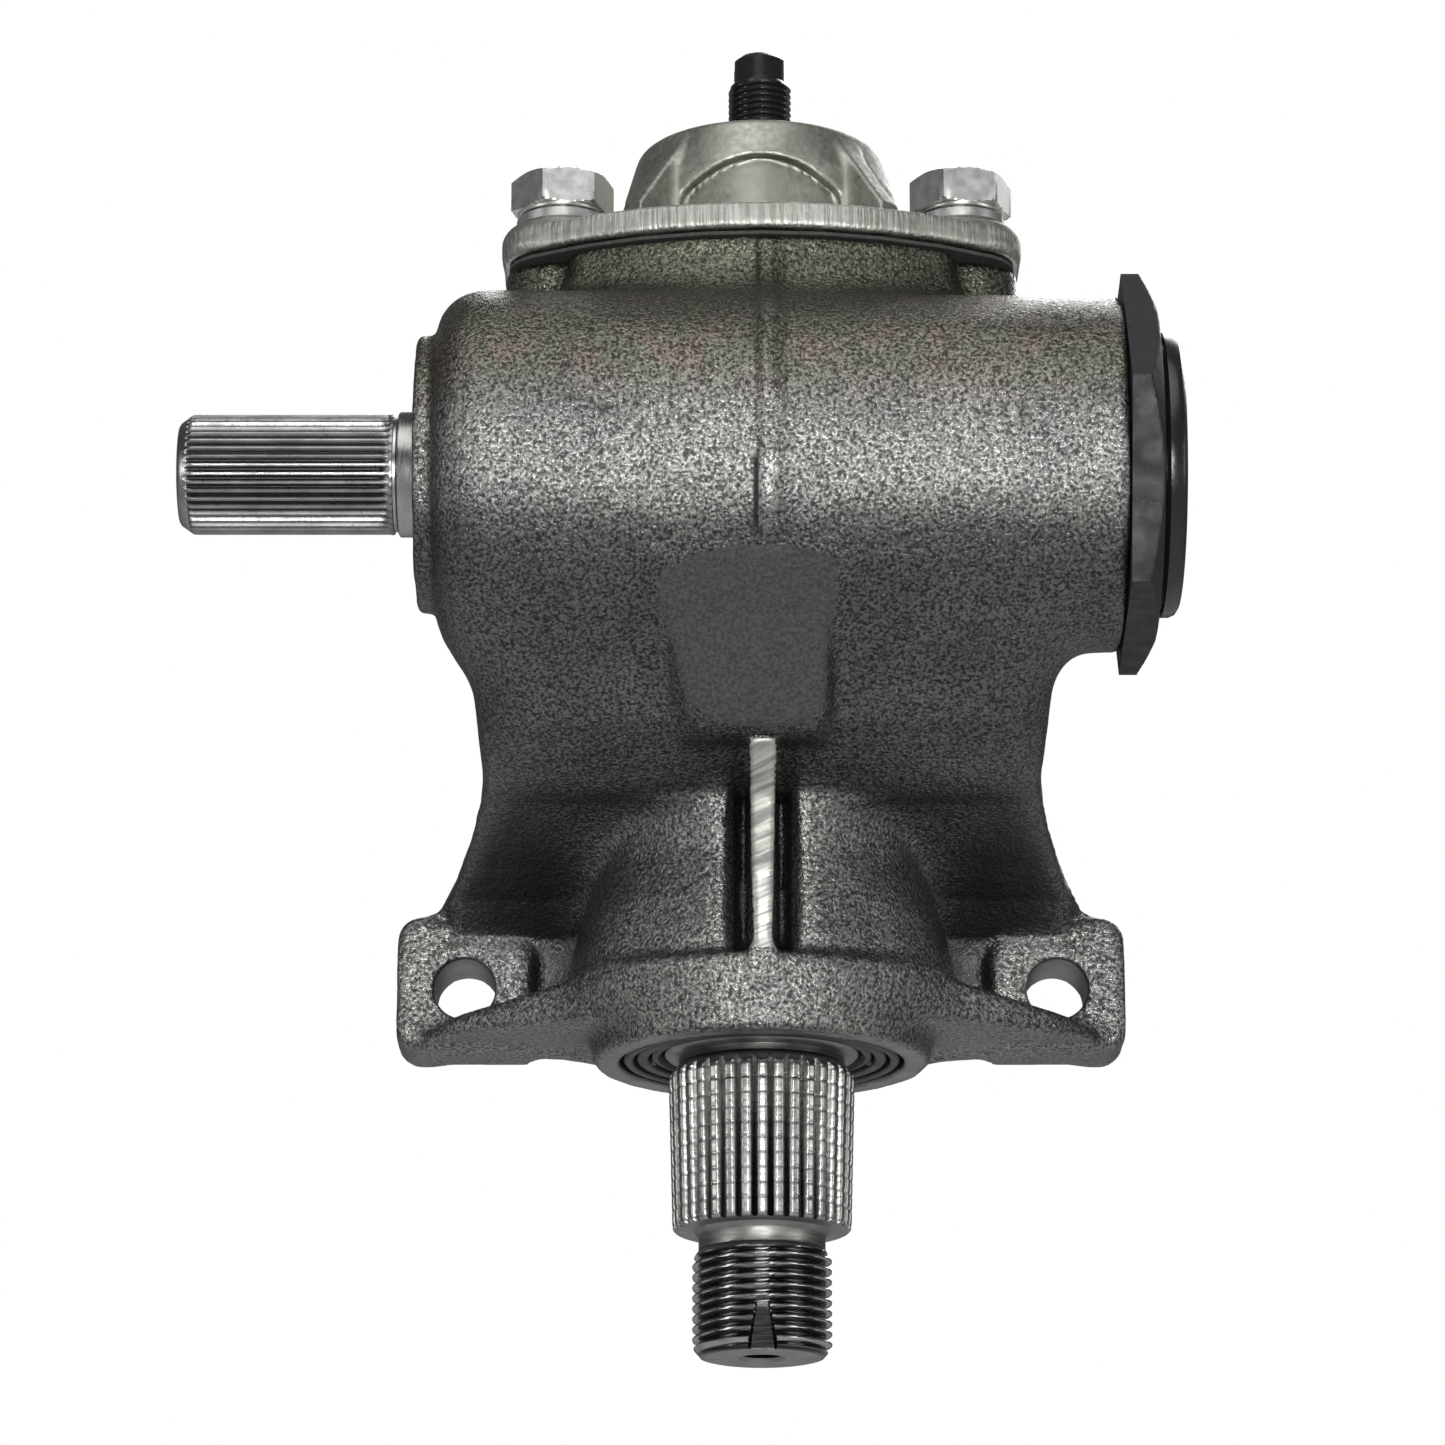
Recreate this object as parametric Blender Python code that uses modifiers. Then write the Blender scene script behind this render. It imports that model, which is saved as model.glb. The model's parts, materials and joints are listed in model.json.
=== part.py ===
"""Worm-and-roller steering gearbox: a horizontal splined input shaft turns a vertical output shaft.

Sizes are in millimetres and angles in degrees; make_object turns them into metres.
The origin lies midway between the two frame bolts, on the plane that the ears are bolted to.
+Y points into the vehicle's frame, +Z up along the output shaft, and the input shaft leaves towards -X.
"""

import math

import bmesh
import bpy
import numpy as np
from mathutils import Matrix, Vector

MM = 0.001
GAP = 0.3  # left between pieces that touch
PAST = 2.0  # how far a cutter or a joined shape runs past the face it meets

# Main axes.
SECTOR_Y = -24.0  # the output shaft stands at x = 0
WORM_Y = -65.0
WORM_Z = 62.2
TURNS_RATIO = 14.7  # input turns for one turn of the output shaft

# Housing.
BARREL_LEFT, BARREL_RIGHT = -46.0, 50.1
BARREL_RADIUS_LEFT, BARREL_RADIUS_RIGHT = 26.1, 25.1
BARREL_ROUNDING = 6.0
NOSE_RADIUS, NOSE_END = 19.6, -48.5
WORM_BORE = 20.3
SEAL_BORE, SEAL_SEAT_END = 14.4, -42.0
HOUSING_TOP = 96.2
CAVITY_BOTTOM, CAVITY_TOP = 43.4, 82.0
CAVITY_RADIUS, CAVITY_BACK = 33.5, -7.5
BOSS_BOTTOM, COLLAR_TOP = -14.0, -3.1
BOSS_RADIUS, COLLAR_RADIUS = 24.0, 26.0
SECTOR_BORE = 14.5
BEARING_SEAT, BEARING_SEAT_TOP = 17.7, 17.0
SEAL_SEAT, SEAL_SEAT_TOP = 20.6, -5.2

# Mounting ears.
EAR_HOLE_X, EAR_HOLE_RADIUS = 43.6, 4.5
EAR_END, EAR_INNER = 53.6, 33.7
EAR_TOP, EAR_BOTTOM, EAR_STEP = 11.0, -8.75, 7.3
EAR_THICKNESS, EAR_CORNER = 13.3, 4.0
WEB_BACK = -6.0

# Top cover and what is screwed to it.
BOLT_X = 28.9
BOLT_FRONT_Y, BOLT_REAR_Y = -54.3, -10.0
COVER_BOTTOM, COVER_TOP, BOLT_PAD_TOP = 97.3, 101.2, 102.3
COVER_CORNER, COVER_FRONT, COVER_FRONT_CURVE = 8.5, -71.3, 62.0
DOME_RADIUS, DOME_TOP_RADIUS, HUB_RADIUS = 19.7, 18.7, 17.6
DOME_TOP, DOME_BAND = 125.7, 119.5
SPOT_FACE_RADIUS, SPOT_FACE_Z = 11.0, 124.6
BUSH_OUTER, BUSH_INNER, BUSH_BOTTOM, BUSH_TOP = 15.2, 12.75, 98.0, 115.5
JOURNAL_ROOF = 117.5
BOLT_RADIUS, BOLT_FLATS, BOLT_HEAD, BOLT_END = 4.0, 13.0, 5.3, 84.0
TAPPED_RADIUS, BOLT_HOLE_RADIUS, BOLT_PAD_RADIUS = 4.35, 4.4, 8.1
WASHER_OUTER, WASHER_INNER, WASHER_HEIGHT = 6.6, 4.3, 2.0

# Adjusting screw in its T-slot.
SCREW_RADIUS, SCREW_END_RADIUS, SCREW_TOP, SCREW_SHOULDER = 4.75, 3.9, 142.9, 138.4
SCREW_BORE = SCREW_RADIUS + 0.35
SCREW_HEAD_RADIUS, SCREW_HEAD_BOTTOM, SCREW_HEAD_TOP = 8.0, 108.4, 111.4
SHIM_THICKNESS = 0.9
SLOT_BOTTOM, SLOT_NECK, SLOT_WIDTH, NECK_WIDTH = 108.0, 112.9, 17.0, 10.6
NUT_FLATS, NUT_HEIGHT = 17.0, 4.2

# Output shaft.
JOURNAL_RADIUS, UPPER_JOURNAL, SHAFT_TOP = 14.0, 12.4, 115.9
HEAD_RADIUS, HEAD_BOTTOM, HEAD_TOP = 16.5, 44.4, 80.4
SPLINE_TEETH, SPLINE_TOP, SPLINE_BOTTOM = 34, -14.4, -38.4
SPLINE_TOP_RADIUS, SPLINE_BOTTOM_RADIUS, SPLINE_DEPTH = 13.5, 12.85, 1.05
NECK_RADIUS, THREAD_TOP, THREAD_RADIUS, SHAFT_END = 9.1, -41.6, 10.0, -56.6

# Roller in the fork of the output shaft.
ROLLER_REACH = 17.5  # from the output axis to the pin
ROLLER_TILT = 8.5
RIDGE_TIP_REACH = 32.0  # from the output axis to a ridge's tip
RIDGE_OFFSET, RIDGE_FLAT, RIDGE_SLOPE = 6.26, 0.7, math.tan(math.radians(22))
ROLLER_CORE, ROLLER_HALF, ROLLER_BORE = 8.9, 8.9, 3.85
PIN_RADIUS, FORK_INNER, FORK_OUTER, FORK_REACH = 3.5, 10.4, 13.4, 26.2

# Input shaft with its worm.
INPUT_END, INPUT_SPLINE_END = -82.1, -51.9
INPUT_TEETH, INPUT_SPLINE_RADIUS, INPUT_SPLINE_DEPTH = 42, 8.47, 0.55
INPUT_JOURNAL = 8.8
WORM_HALF, WORM_RADIUS, WORM_CORE, CREST_REACH = 23.5, 18.6, 7.6, 27.0
RADIUS_STEP, SWING_REACH, SWING_STEP = 0.22, 49.0, 0.5  # how finely the thread is generated
WORM_CLEARANCE = 0.62
BALL_X, BALL_PITCH, BALL_RADIUS, BALL_COUNT, RACE_RADIUS = 31.0, 13.2, 3.1, 9, 3.45

# Right end of the barrel.
PLUG_LEFT, PLUG_RIGHT, PLUG_RADIUS, PLUG_RIM = 39.2, 58.5, 19.9, 20.2
PLUG_HOLLOW, PLUG_FLOOR = 14.5, 50.0
GROOVE_LEFT, GROOVE_RIGHT = 43.4, 45.8
SOCKET_FLATS, SOCKET_DEPTH = 22.0, 5.5
RING_LEFT, RING_RIGHT, RING_FLATS, RING_TURN = 50.4, 55.0, 49.0, 11.0

WORM_AT = (0.0, WORM_Y, WORM_Z)
SECTOR_AT = (0.0, SECTOR_Y, 0.0)
AXIS_TURN = {
    "Z": Matrix.Identity(4),
    "X": Matrix.Rotation(math.radians(90), 4, "Y"),
    "-X": Matrix.Rotation(math.radians(-90), 4, "Y"),
    "Y": Matrix.Rotation(math.radians(-90), 4, "X"),
}


# ---------------------------------------------------------------- scene and materials

def clear_scene():
    for old in list(bpy.data.objects):
        bpy.data.objects.remove(old)


def new_collection(name, hidden=False):
    found = bpy.data.collections.new(name)
    bpy.context.scene.collection.children.link(found)
    found.hide_render = hidden
    return found


def new_material(name, colour, roughness, metallic):
    found = bpy.data.materials.new(name)
    found.use_nodes = True
    shader = found.node_tree.nodes["Principled BSDF"]
    shader.inputs["Base Color"].default_value = (*colour, 1.0)
    shader.inputs["Roughness"].default_value = roughness
    shader.inputs["Metallic"].default_value = metallic
    found.diffuse_color = (*colour, 1.0)
    return found


clear_scene()
PARTS = new_collection("steering_gearbox")
CUTTERS = new_collection("steering_gearbox_cutters", hidden=True)
CAST_IRON = new_material("cast_iron", (0.075, 0.075, 0.07), 0.6, 0.6)
ALUMINIUM = new_material("cast_aluminium", (0.34, 0.34, 0.31), 0.55, 0.8)
STEEL = new_material("machined_steel", (0.45, 0.44, 0.42), 0.3, 1.0)
ZINC = new_material("zinc_plated_steel", (0.72, 0.72, 0.7), 0.25, 1.0)
BLACK_OXIDE = new_material("black_oxide_steel", (0.03, 0.03, 0.032), 0.35, 0.8)
BEARING_STEEL = new_material("bearing_steel", (0.4, 0.4, 0.41), 0.22, 1.0)
RUBBER = new_material("seal_rubber", (0.02, 0.02, 0.02), 0.7, 0.0)
PAPER = new_material("gasket_paper", (0.12, 0.1, 0.08), 0.9, 0.0)
BRONZE = new_material("bush_bronze", (0.5, 0.33, 0.16), 0.4, 1.0)


# ---------------------------------------------------------------- modelling helpers

def make_object(name, mesh, finish, origin=(0, 0, 0), turn=Matrix.Identity(4)):
    """A node with this mesh, given in millimetres, or a helper among the cutters if finish is None."""
    mesh.transform(Matrix.Scale(MM, 4))
    mesh.shade_smooth()
    mesh.set_sharp_from_angle(angle=math.radians(30))
    made = bpy.data.objects.new(name, mesh)
    made.matrix_world = Matrix.Translation(Vector(origin) * MM) @ turn
    if finish is None:
        CUTTERS.objects.link(made)
        made.hide_render = True
        made.display_type = "WIRE"
    else:
        PARTS.objects.link(made)
        mesh.materials.append(finish)
    return made


def mesh_from(bm, name):
    bmesh.ops.recalc_face_normals(bm, faces=bm.faces)
    mesh = bpy.data.meshes.new(name)
    bm.to_mesh(mesh)
    bm.free()
    return mesh


def turned(name, profile, finish, origin=(0, 0, 0), axis="Z", steps=32, ring=False):
    """A turned shape from (radius, height) points, down the outer side; a ring's profile closes on itself."""
    mesh = bpy.data.meshes.new(name)
    edges = [(i, i + 1) for i in range(len(profile) - 1)]
    if ring:
        edges.append((len(profile) - 1, 0))
    mesh.from_pydata([(radius, 0.0, height) for radius, height in profile], edges, [])
    made = make_object(name, mesh, finish, origin, AXIS_TURN[axis])
    screw = made.modifiers.new("Turn", "SCREW")
    screw.steps = screw.render_steps = steps
    screw.use_merge_vertices = True
    screw.merge_threshold = 0.00001
    screw.use_smooth_shade = True
    return made


def ring_profile(outer, inner, low, high):
    return [(outer, high), (outer, low), (inner, low), (inner, high)]


def rod(name, radius, low, high, finish=None, origin=(0, 0, 0), turn=Matrix.Identity(4), segments=32):
    """A cylinder along the local Z axis from low to high."""
    bm = bmesh.new()
    bmesh.ops.create_cone(
        bm, cap_ends=True, segments=segments, radius1=radius, radius2=radius, depth=high - low
    )
    bmesh.ops.translate(bm, verts=bm.verts, vec=(0, 0, (low + high) / 2))
    return make_object(name, mesh_from(bm, name), finish, origin, turn)


def block(name, low, high, finish=None, origin=(0, 0, 0), turn=Matrix.Identity(4)):
    """A box between two corners."""
    bm = bmesh.new()
    bmesh.ops.create_cube(bm, size=1.0)
    size = Vector(high) - Vector(low)
    bmesh.ops.scale(bm, verts=bm.verts, vec=size)
    bmesh.ops.translate(bm, verts=bm.verts, vec=(Vector(high) + Vector(low)) / 2)
    return make_object(name, mesh_from(bm, name), finish, origin, turn)


def hull(name, points, finish=None):
    """The convex body around some points."""
    bm = bmesh.new()
    for point in points:
        bm.verts.new(point)
    made = bmesh.ops.convex_hull(bm, input=bm.verts)
    spare = {v for v in made["geom_interior"] + made["geom_unused"] if isinstance(v, bmesh.types.BMVert)}
    bmesh.ops.delete(bm, geom=list(spare), context="VERTS")
    bmesh.ops.dissolve_limit(bm, angle_limit=math.radians(1), verts=bm.verts, edges=bm.edges)
    return make_object(name, mesh_from(bm, name), finish)


def flat_shape(name, outline, low, high, finish=None, turn=Matrix.Identity(4)):
    """A flat outline with thickness from low to high along the local Z axis."""
    curve = bpy.data.curves.new(name, "CURVE")
    curve.dimensions = "2D"
    curve.fill_mode = "BOTH"
    curve.extrude = (high - low) / 2
    spline = curve.splines.new("POLY")
    spline.points.add(len(outline) - 1)
    for point, (x, y) in zip(spline.points, outline):
        point.co = (x, y, 0, 1)
    spline.use_cyclic_u = True
    drawn = bpy.data.objects.new(name + "_outline", curve)
    CUTTERS.objects.link(drawn)
    graph = bpy.context.evaluated_depsgraph_get()
    mesh = bpy.data.meshes.new_from_object(drawn.evaluated_get(graph))
    bpy.data.objects.remove(drawn)
    bm = bmesh.new()
    bm.from_mesh(mesh)
    bpy.data.meshes.remove(mesh)
    bmesh.ops.remove_doubles(bm, verts=bm.verts, dist=0.001)
    bmesh.ops.translate(bm, verts=bm.verts, vec=(0, 0, (low + high) / 2))
    return make_object(name, mesh_from(bm, name), finish, (0, 0, 0), turn)


def toothed_rod(name, teeth, tip_low, tip_high, depth, low, high, origin, turn=Matrix.Identity(4)):
    """A splined rod with flat-topped teeth; the tip radius may taper from low to high."""
    bm = bmesh.new()
    bmesh.ops.create_circle(bm, cap_ends=True, radius=tip_low, segments=teeth * 3)
    for vert in list(bm.verts)[::3]:
        vert.co *= (tip_low - depth) / tip_low
    bmesh.ops.translate(bm, verts=bm.verts, vec=(0, 0, low))
    raised = bmesh.ops.extrude_face_region(bm, geom=list(bm.faces))
    verts = [part for part in raised["geom"] if isinstance(part, bmesh.types.BMVert)]
    bmesh.ops.translate(bm, verts=verts, vec=(0, 0, high - low))
    taper = tip_high / tip_low
    bmesh.ops.scale(bm, verts=verts, vec=(taper, taper, 1))
    return make_object(name, mesh_from(bm, name), None, origin, turn)


def bore(name, radius, low, high, origin, axis, segments):
    """A round cutter along one of the main axes."""
    return rod(name, radius, low, high, None, origin, AXIS_TURN[axis], segments)


def combine(target, other, operation):
    """A Boolean on target; the other object goes among the cutters."""
    step = target.modifiers.new(operation.title() + "_" + other.name, "BOOLEAN")
    step.operation = operation
    step.object = other
    return target


def add(target, *others):
    for other in others:
        combine(target, other, "UNION")


def cut(target, *others):
    for other in others:
        combine(target, other, "DIFFERENCE")


def arc(centre, radius, start, end, count):
    """Points on an arc, with both ends, from start to end in degrees."""
    angles = [math.radians(start + (end - start) * i / (count - 1)) for i in range(count)]
    return [(centre[0] + radius * math.cos(a), centre[1] + radius * math.sin(a)) for a in angles]


def level(outline, height):
    return [(x, y, height) for x, y in outline]


def rounded_box(half_width, front, back, corner, count=4):
    """The plan of a box that is symmetric about x = 0."""
    right, left = half_width - corner, corner - half_width
    return (
        arc((right, back - corner), corner, 0, 90, count)
        + arc((left, back - corner), corner, 90, 180, count)
        + arc((left, front + corner), corner, 180, 270, count)
        + arc((right, front + corner), corner, 270, 360, count)
    )


def oval(half_width, half_depth, count=20):
    """The plan of an oval around the output shaft."""
    turns = [2 * math.pi * i / count for i in range(count)]
    return [(half_width * math.cos(a), SECTOR_Y + half_depth * math.sin(a)) for a in turns]


def hex_outline(flats, turn=0.0):
    corner = flats / 2 / math.cos(math.radians(30))
    return [
        (corner * math.cos(math.radians(turn + 60 * i)), corner * math.sin(math.radians(turn + 60 * i)))
        for i in range(6)
    ]


# ---------------------------------------------------------------- housing

def cover_outline(inset=0.0):
    """The plan of the cover: a bulging front edge between corners that are round about the bolts."""
    corner = COVER_CORNER - inset
    curve_y = COVER_FRONT + COVER_FRONT_CURVE
    lean = math.degrees(math.asin(BOLT_X / (COVER_FRONT_CURVE - COVER_CORNER)))
    return (
        arc((BOLT_X, BOLT_REAR_Y), corner, 0, 90, 5)
        + arc((-BOLT_X, BOLT_REAR_Y), corner, 90, 180, 5)
        + arc((-BOLT_X, BOLT_FRONT_Y), corner, 180, 270 - lean, 5)
        + arc((0, curve_y), COVER_FRONT_CURVE - inset, 270 - lean, 270 + lean, 9)[1:-1]
        + arc((BOLT_X, BOLT_FRONT_Y), corner, 270 + lean, 360, 5)
    )


def mouth(grow):
    """The plan of the opening under the cover, which the head and the roller pass through."""
    return arc((0, SECTOR_Y), 17.6 + grow, 0, 345, 24) + arc((0, SECTOR_Y - 20), 16.0 + grow, 0, 345, 24)


def bolt_places():
    return [(x, y) for y in (BOLT_FRONT_Y, BOLT_REAR_Y) for x in (-BOLT_X, BOLT_X)]


def barrel(name):
    """The barrel around the worm, with its rounded left end and the nose that holds the seal."""
    corner_x = BARREL_LEFT + BARREL_ROUNDING
    corner_r = BARREL_RADIUS_LEFT - BARREL_ROUNDING
    rounding = arc((corner_r, corner_x), BARREL_ROUNDING, 0, -90, 5)
    nose = [(NOSE_RADIUS, BARREL_LEFT - 0.1), (NOSE_RADIUS, NOSE_END + 0.6), (NOSE_RADIUS - 0.6, NOSE_END)]
    profile = [(0, BARREL_RIGHT), (BARREL_RADIUS_RIGHT, BARREL_RIGHT), *rounding, *nose, (0, NOSE_END)]
    return turned(name, profile, CAST_IRON, WORM_AT, "X", 36)


def neck_block():
    """The block between the barrel and the cover, with a front that bulges like the cover's."""
    curve_at = (0, COVER_FRONT + COVER_FRONT_CURVE + 1.0)
    half_width, back = 29.3, -2.5
    outline = arc(curve_at, COVER_FRONT_CURVE, 244, 296, 7)
    outline += [(half_width, -61.0), (half_width, back), (-half_width, back), (-half_width, -61.0)]
    return hull("neck_block", level(outline, WORM_Z) + level(outline, HOUSING_TOP))


def corner_boss(number, x, y):
    """The boss that a cover bolt is screwed into; it leans into the wall below."""
    top = [(x + dx, y + dy) for dx, dy in arc((0, 0), 8.2, 0, 330, 12)]
    foot = [(x * 0.8 + dx, y + dy) for dx, dy in arc((0, 0), 6.0, 0, 330, 12)]
    points = level(top, HOUSING_TOP - 0.05) + level(top, 84.0) + level(foot, 70.0)
    return hull("corner_boss_%d" % number, points)


def chamber():
    """The body behind and below the barrel."""
    return hull(
        "chamber",
        level(rounded_box(37.5, -58, -3, 9), 86)
        + level(rounded_box(41.6, -74, -3, 9), 60)
        + level(rounded_box(41.4, -66, -3, 9), 40)
        + level(rounded_box(40.2, -54, -3, 9), 27)
        + level(rounded_box(39.5, -42, -3, 8), 20.5),
    )


def flare():
    """The slope from the chamber out to the ears."""
    return hull(
        "flare",
        level(rounded_box(39.4, -41, -3.2, 6, 3), 21)
        + level(rounded_box(47.2, -EAR_THICKNESS + 0.6, -3.2, 2, 2), 10.6)
        + level(rounded_box(47.0, -EAR_THICKNESS + 0.6, -3.2, 2, 2), 8.0),
    )


def centre_bulge():
    """The fullness under the barrel's middle, with a flat face that slopes back to the rib."""
    return hull(
        "centre_bulge",
        [
            (side * x, y, z)
            for side in (-1, 1)
            for x, y, z in (
                (13.5, -83.2, 44.2), (8.0, -62.0, 22.6), (17.5, -78.0, 44.0), (13.0, -58.0, 24.0),
                (18.0, -50.0, 50.0), (16.0, -45.0, 22.0),
            )
        ],
    )


def sleeve():
    """The oval sleeve that widens down to the ledge."""
    return hull(
        "sleeve",
        level(oval(18.0, 21.0), 23) + level(oval(24.0, 22.2), 12) + level(oval(28.6, 23.2), -5),
    )


def collar():
    """The band around the lower bearing."""
    profile = [(0, COLLAR_TOP), (COLLAR_RADIUS, COLLAR_TOP), (BOSS_RADIUS + 0.4, BOSS_BOTTOM + 0.8)]
    profile += [(BOSS_RADIUS - 0.4, BOSS_BOTTOM), (0, BOSS_BOTTOM)]
    return turned("collar", profile, None, SECTOR_AT, "Z", 36)


def ledge():
    """The shelf that joins the collar to both ears."""
    around = oval(25.2, 25.2, 24)
    low, high = EAR_BOTTOM - 0.4, COLLAR_TOP - 2.1
    points = level(around, low) + level(around, high)
    for side in (-1, 1):
        points += [(side * 45.5, -20.0, z) for z in (low + 0.5, high - 0.6)]
        points += [(side * 49.2, y, z) for y in (-15.0, WEB_BACK - 0.5) for z in (EAR_BOTTOM + 0.4, -7.4)]
    return hull("ledge", points)


def ledge_trim():
    """Takes the ledge back to the web between the ears' pads."""
    return block("ledge_trim", (-EAR_INNER - 1, WEB_BACK - 0.2, -12), (EAR_INNER + 1, 2, 30))


def ear_pad(name, side):
    """One ear, with the step in its upper edge beside the bolt hole."""
    outline = (
        arc((EAR_END - EAR_CORNER, EAR_BOTTOM + EAR_CORNER), EAR_CORNER, -90, 0, 5)
        + arc((EAR_END - EAR_CORNER, EAR_TOP - EAR_CORNER), EAR_CORNER, 0, 90, 5)
        + [(46.6, EAR_TOP), (45.4, EAR_STEP)]
        + arc((EAR_INNER + 3, EAR_STEP - 3), 3.0, 90, 180, 4)
        + [(EAR_INNER, EAR_BOTTOM)]
    )
    outline = [(side * x, y) for x, y in outline][::side]
    upright = Matrix.Rotation(math.radians(90), 4, "X")
    return flat_shape(name, outline, 0.0, EAR_THICKNESS, None, upright)


def web():
    """The wall between the ears."""
    return block("web", (-47, -EAR_THICKNESS + 0.6, EAR_BOTTOM + 0.2), (47, WEB_BACK, 9.5))


def rib():
    """The thin rib down the front of the sleeve."""
    outline = [(-45, -6), (-49.4, -5.2), (-51.4, 8), (-54.5, 19), (-62, 27), (-45, 30)]
    upright = Matrix(((0, 0, 1, 0), (1, 0, 0, 0), (0, 1, 0, 0), (0, 0, 0, 1)))
    return flat_shape("rib", outline, -1.4, 1.4, None, upright)


def housing():
    body = barrel("housing")
    add(body, chamber(), neck_block(), centre_bulge(), flare())
    web_and_ledge = ledge()
    cut(web_and_ledge, ledge_trim())
    add(body, web(), web_and_ledge, sleeve(), collar(), rib())
    add(body, *(ear_pad("ear_pad_%d" % i, side) for i, side in enumerate((-1, 1))))
    add(body, *(corner_boss(i, x, y) for i, (x, y) in enumerate(bolt_places())))

    roomy = arc((0, SECTOR_Y), CAVITY_RADIUS, 180, 360, 17)
    roomy += [(CAVITY_RADIUS, CAVITY_BACK), (-CAVITY_RADIUS, CAVITY_BACK)]
    cut(
        body,
        bore("worm_bore", WORM_BORE, SEAL_SEAT_END + 0.2, BARREL_RIGHT + PAST, WORM_AT, "X", 32),
        bore("seal_bore", SEAL_BORE, NOSE_END - PAST, SEAL_SEAT_END + PAST, WORM_AT, "X", 24),
        hull("sector_cavity", level(roomy, CAVITY_BOTTOM) + level(roomy, CAVITY_TOP)),
        hull("mouth", level(mouth(0), CAVITY_TOP - PAST) + level(mouth(0), HOUSING_TOP + PAST)),
        bore("sector_bore", SECTOR_BORE, BEARING_SEAT_TOP - PAST, CAVITY_BOTTOM + PAST, SECTOR_AT, "Z", 28),
        bore("bearing_bore", BEARING_SEAT, SEAL_SEAT_TOP - PAST, BEARING_SEAT_TOP, SECTOR_AT, "Z", 28),
        bore("seal_counterbore", SEAL_SEAT, BOSS_BOTTOM - PAST, SEAL_SEAT_TOP, SECTOR_AT, "Z", 32),
    )
    for side in (-1, 1):
        name = "ear_bolt_hole_%d" % (side > 0)
        cut(body, bore(name, EAR_HOLE_RADIUS, -40, PAST, (side * EAR_HOLE_X, 0, 0), "Y", 20))
    for i, (x, y) in enumerate(bolt_places()):
        name = "tapped_hole_%d" % i
        cut(body, bore(name, TAPPED_RADIUS, BOLT_END - 2.5, HOUSING_TOP + PAST, (x, y, 0), "Z", 12))
    return body


# ---------------------------------------------------------------- cover and fasteners

def gusset(number, x, y):
    """The rib from the dome out towards a cover bolt."""
    heading = math.atan2(y - SECTOR_Y, x)
    reach = min(33.0, math.hypot(x, y - SECTOR_Y) - COVER_CORNER)
    inner, foot, tip = 16.6, COVER_BOTTOM + 1, 121.5
    outline = [(inner, foot), (reach, foot), (reach, 103.4), (20.5, 113.5), (19.2, tip), (inner, tip)]
    upright = Matrix.Rotation(heading, 4, "Z") @ Matrix.Rotation(math.radians(90), 4, "X")
    upright = Matrix.Translation((0, SECTOR_Y * MM, 0)) @ upright
    return flat_shape("gusset_%d" % number, outline, -1.9, 1.9, None, upright)


def top_cover():
    plan = cover_outline()
    cover = flat_shape("top_cover", plan, COVER_BOTTOM, COVER_TOP, ALUMINIUM)
    foot = COVER_TOP - 1.0
    dome = [
        (0, DOME_TOP), (DOME_TOP_RADIUS, DOME_TOP), (DOME_RADIUS, DOME_TOP - 1.2),
        (DOME_RADIUS + 0.2, DOME_BAND), (HUB_RADIUS, DOME_BAND - 1.5), (HUB_RADIUS + 0.8, foot), (0, foot),
    ]
    add(cover, turned("dome", dome, None, SECTOR_AT, "Z", 32))
    for i, (x, y) in enumerate(bolt_places()):
        add(cover, bore("bolt_pad_%d" % i, BOLT_PAD_RADIUS, foot, BOLT_PAD_TOP, (x, y, 0), "Z", 20))
        add(cover, gusset(i, x, y))
        low, high = COVER_BOTTOM - PAST, BOLT_PAD_TOP + PAST
        cut(cover, bore("bolt_hole_%d" % i, BOLT_HOLE_RADIUS, low, high, (x, y, 0), "Z", 12))
    cut(
        cover,
        bore("bush_bore", BUSH_OUTER + GAP, COVER_BOTTOM - PAST, BUSH_TOP + GAP, SECTOR_AT, "Z", 28),
        bore("journal_room", UPPER_JOURNAL + 2 * GAP, BUSH_TOP - PAST, JOURNAL_ROOF, SECTOR_AT, "Z", 24),
        bore("screw_bore", SCREW_BORE, JOURNAL_ROOF - PAST, DOME_TOP + PAST, SECTOR_AT, "Z", 16),
        bore("spot_face", SPOT_FACE_RADIUS, SPOT_FACE_Z, DOME_TOP + PAST, SECTOR_AT, "Z", 24),
    )
    return cover


def cover_gasket():
    gasket = flat_shape("cover_gasket", cover_outline(0.9), HOUSING_TOP + GAP, COVER_BOTTOM - GAP, PAPER)
    low, high = HOUSING_TOP - PAST, COVER_BOTTOM + PAST
    cut(gasket, hull("gasket_mouth", level(mouth(0.6), low) + level(mouth(0.6), high)))
    for i, (x, y) in enumerate(bolt_places()):
        cut(gasket, bore("gasket_hole_%d" % i, BOLT_HOLE_RADIUS + 0.1, low, high, (x, y, 0), "Z", 12))


def cover_bolt(number, x, y):
    """A hexagon bolt whose head stands on the spring washer."""
    seat = BOLT_PAD_TOP + WASHER_HEIGHT + 2 * GAP
    top, point = seat + PAST, 0.8
    shank = [(0, top), (BOLT_RADIUS, top), (BOLT_RADIUS, BOLT_END + point)]
    shank += [(BOLT_RADIUS - point, BOLT_END), (0, BOLT_END)]
    bolt = turned("cover_bolt_%d" % number, shank, ZINC, (x, y, 0), "Z", 12)
    head = flat_shape("bolt_head_%d" % number, hex_outline(BOLT_FLATS), seat + 0.4, seat + BOLT_HEAD)
    head.location = Vector((x, y, 0)) * MM
    face = rod("bolt_face_%d" % number, 6.0, seat, seat + 1.0, None, (x, y, 0), segments=16)
    add(bolt, head, face)
    return bolt


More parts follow.
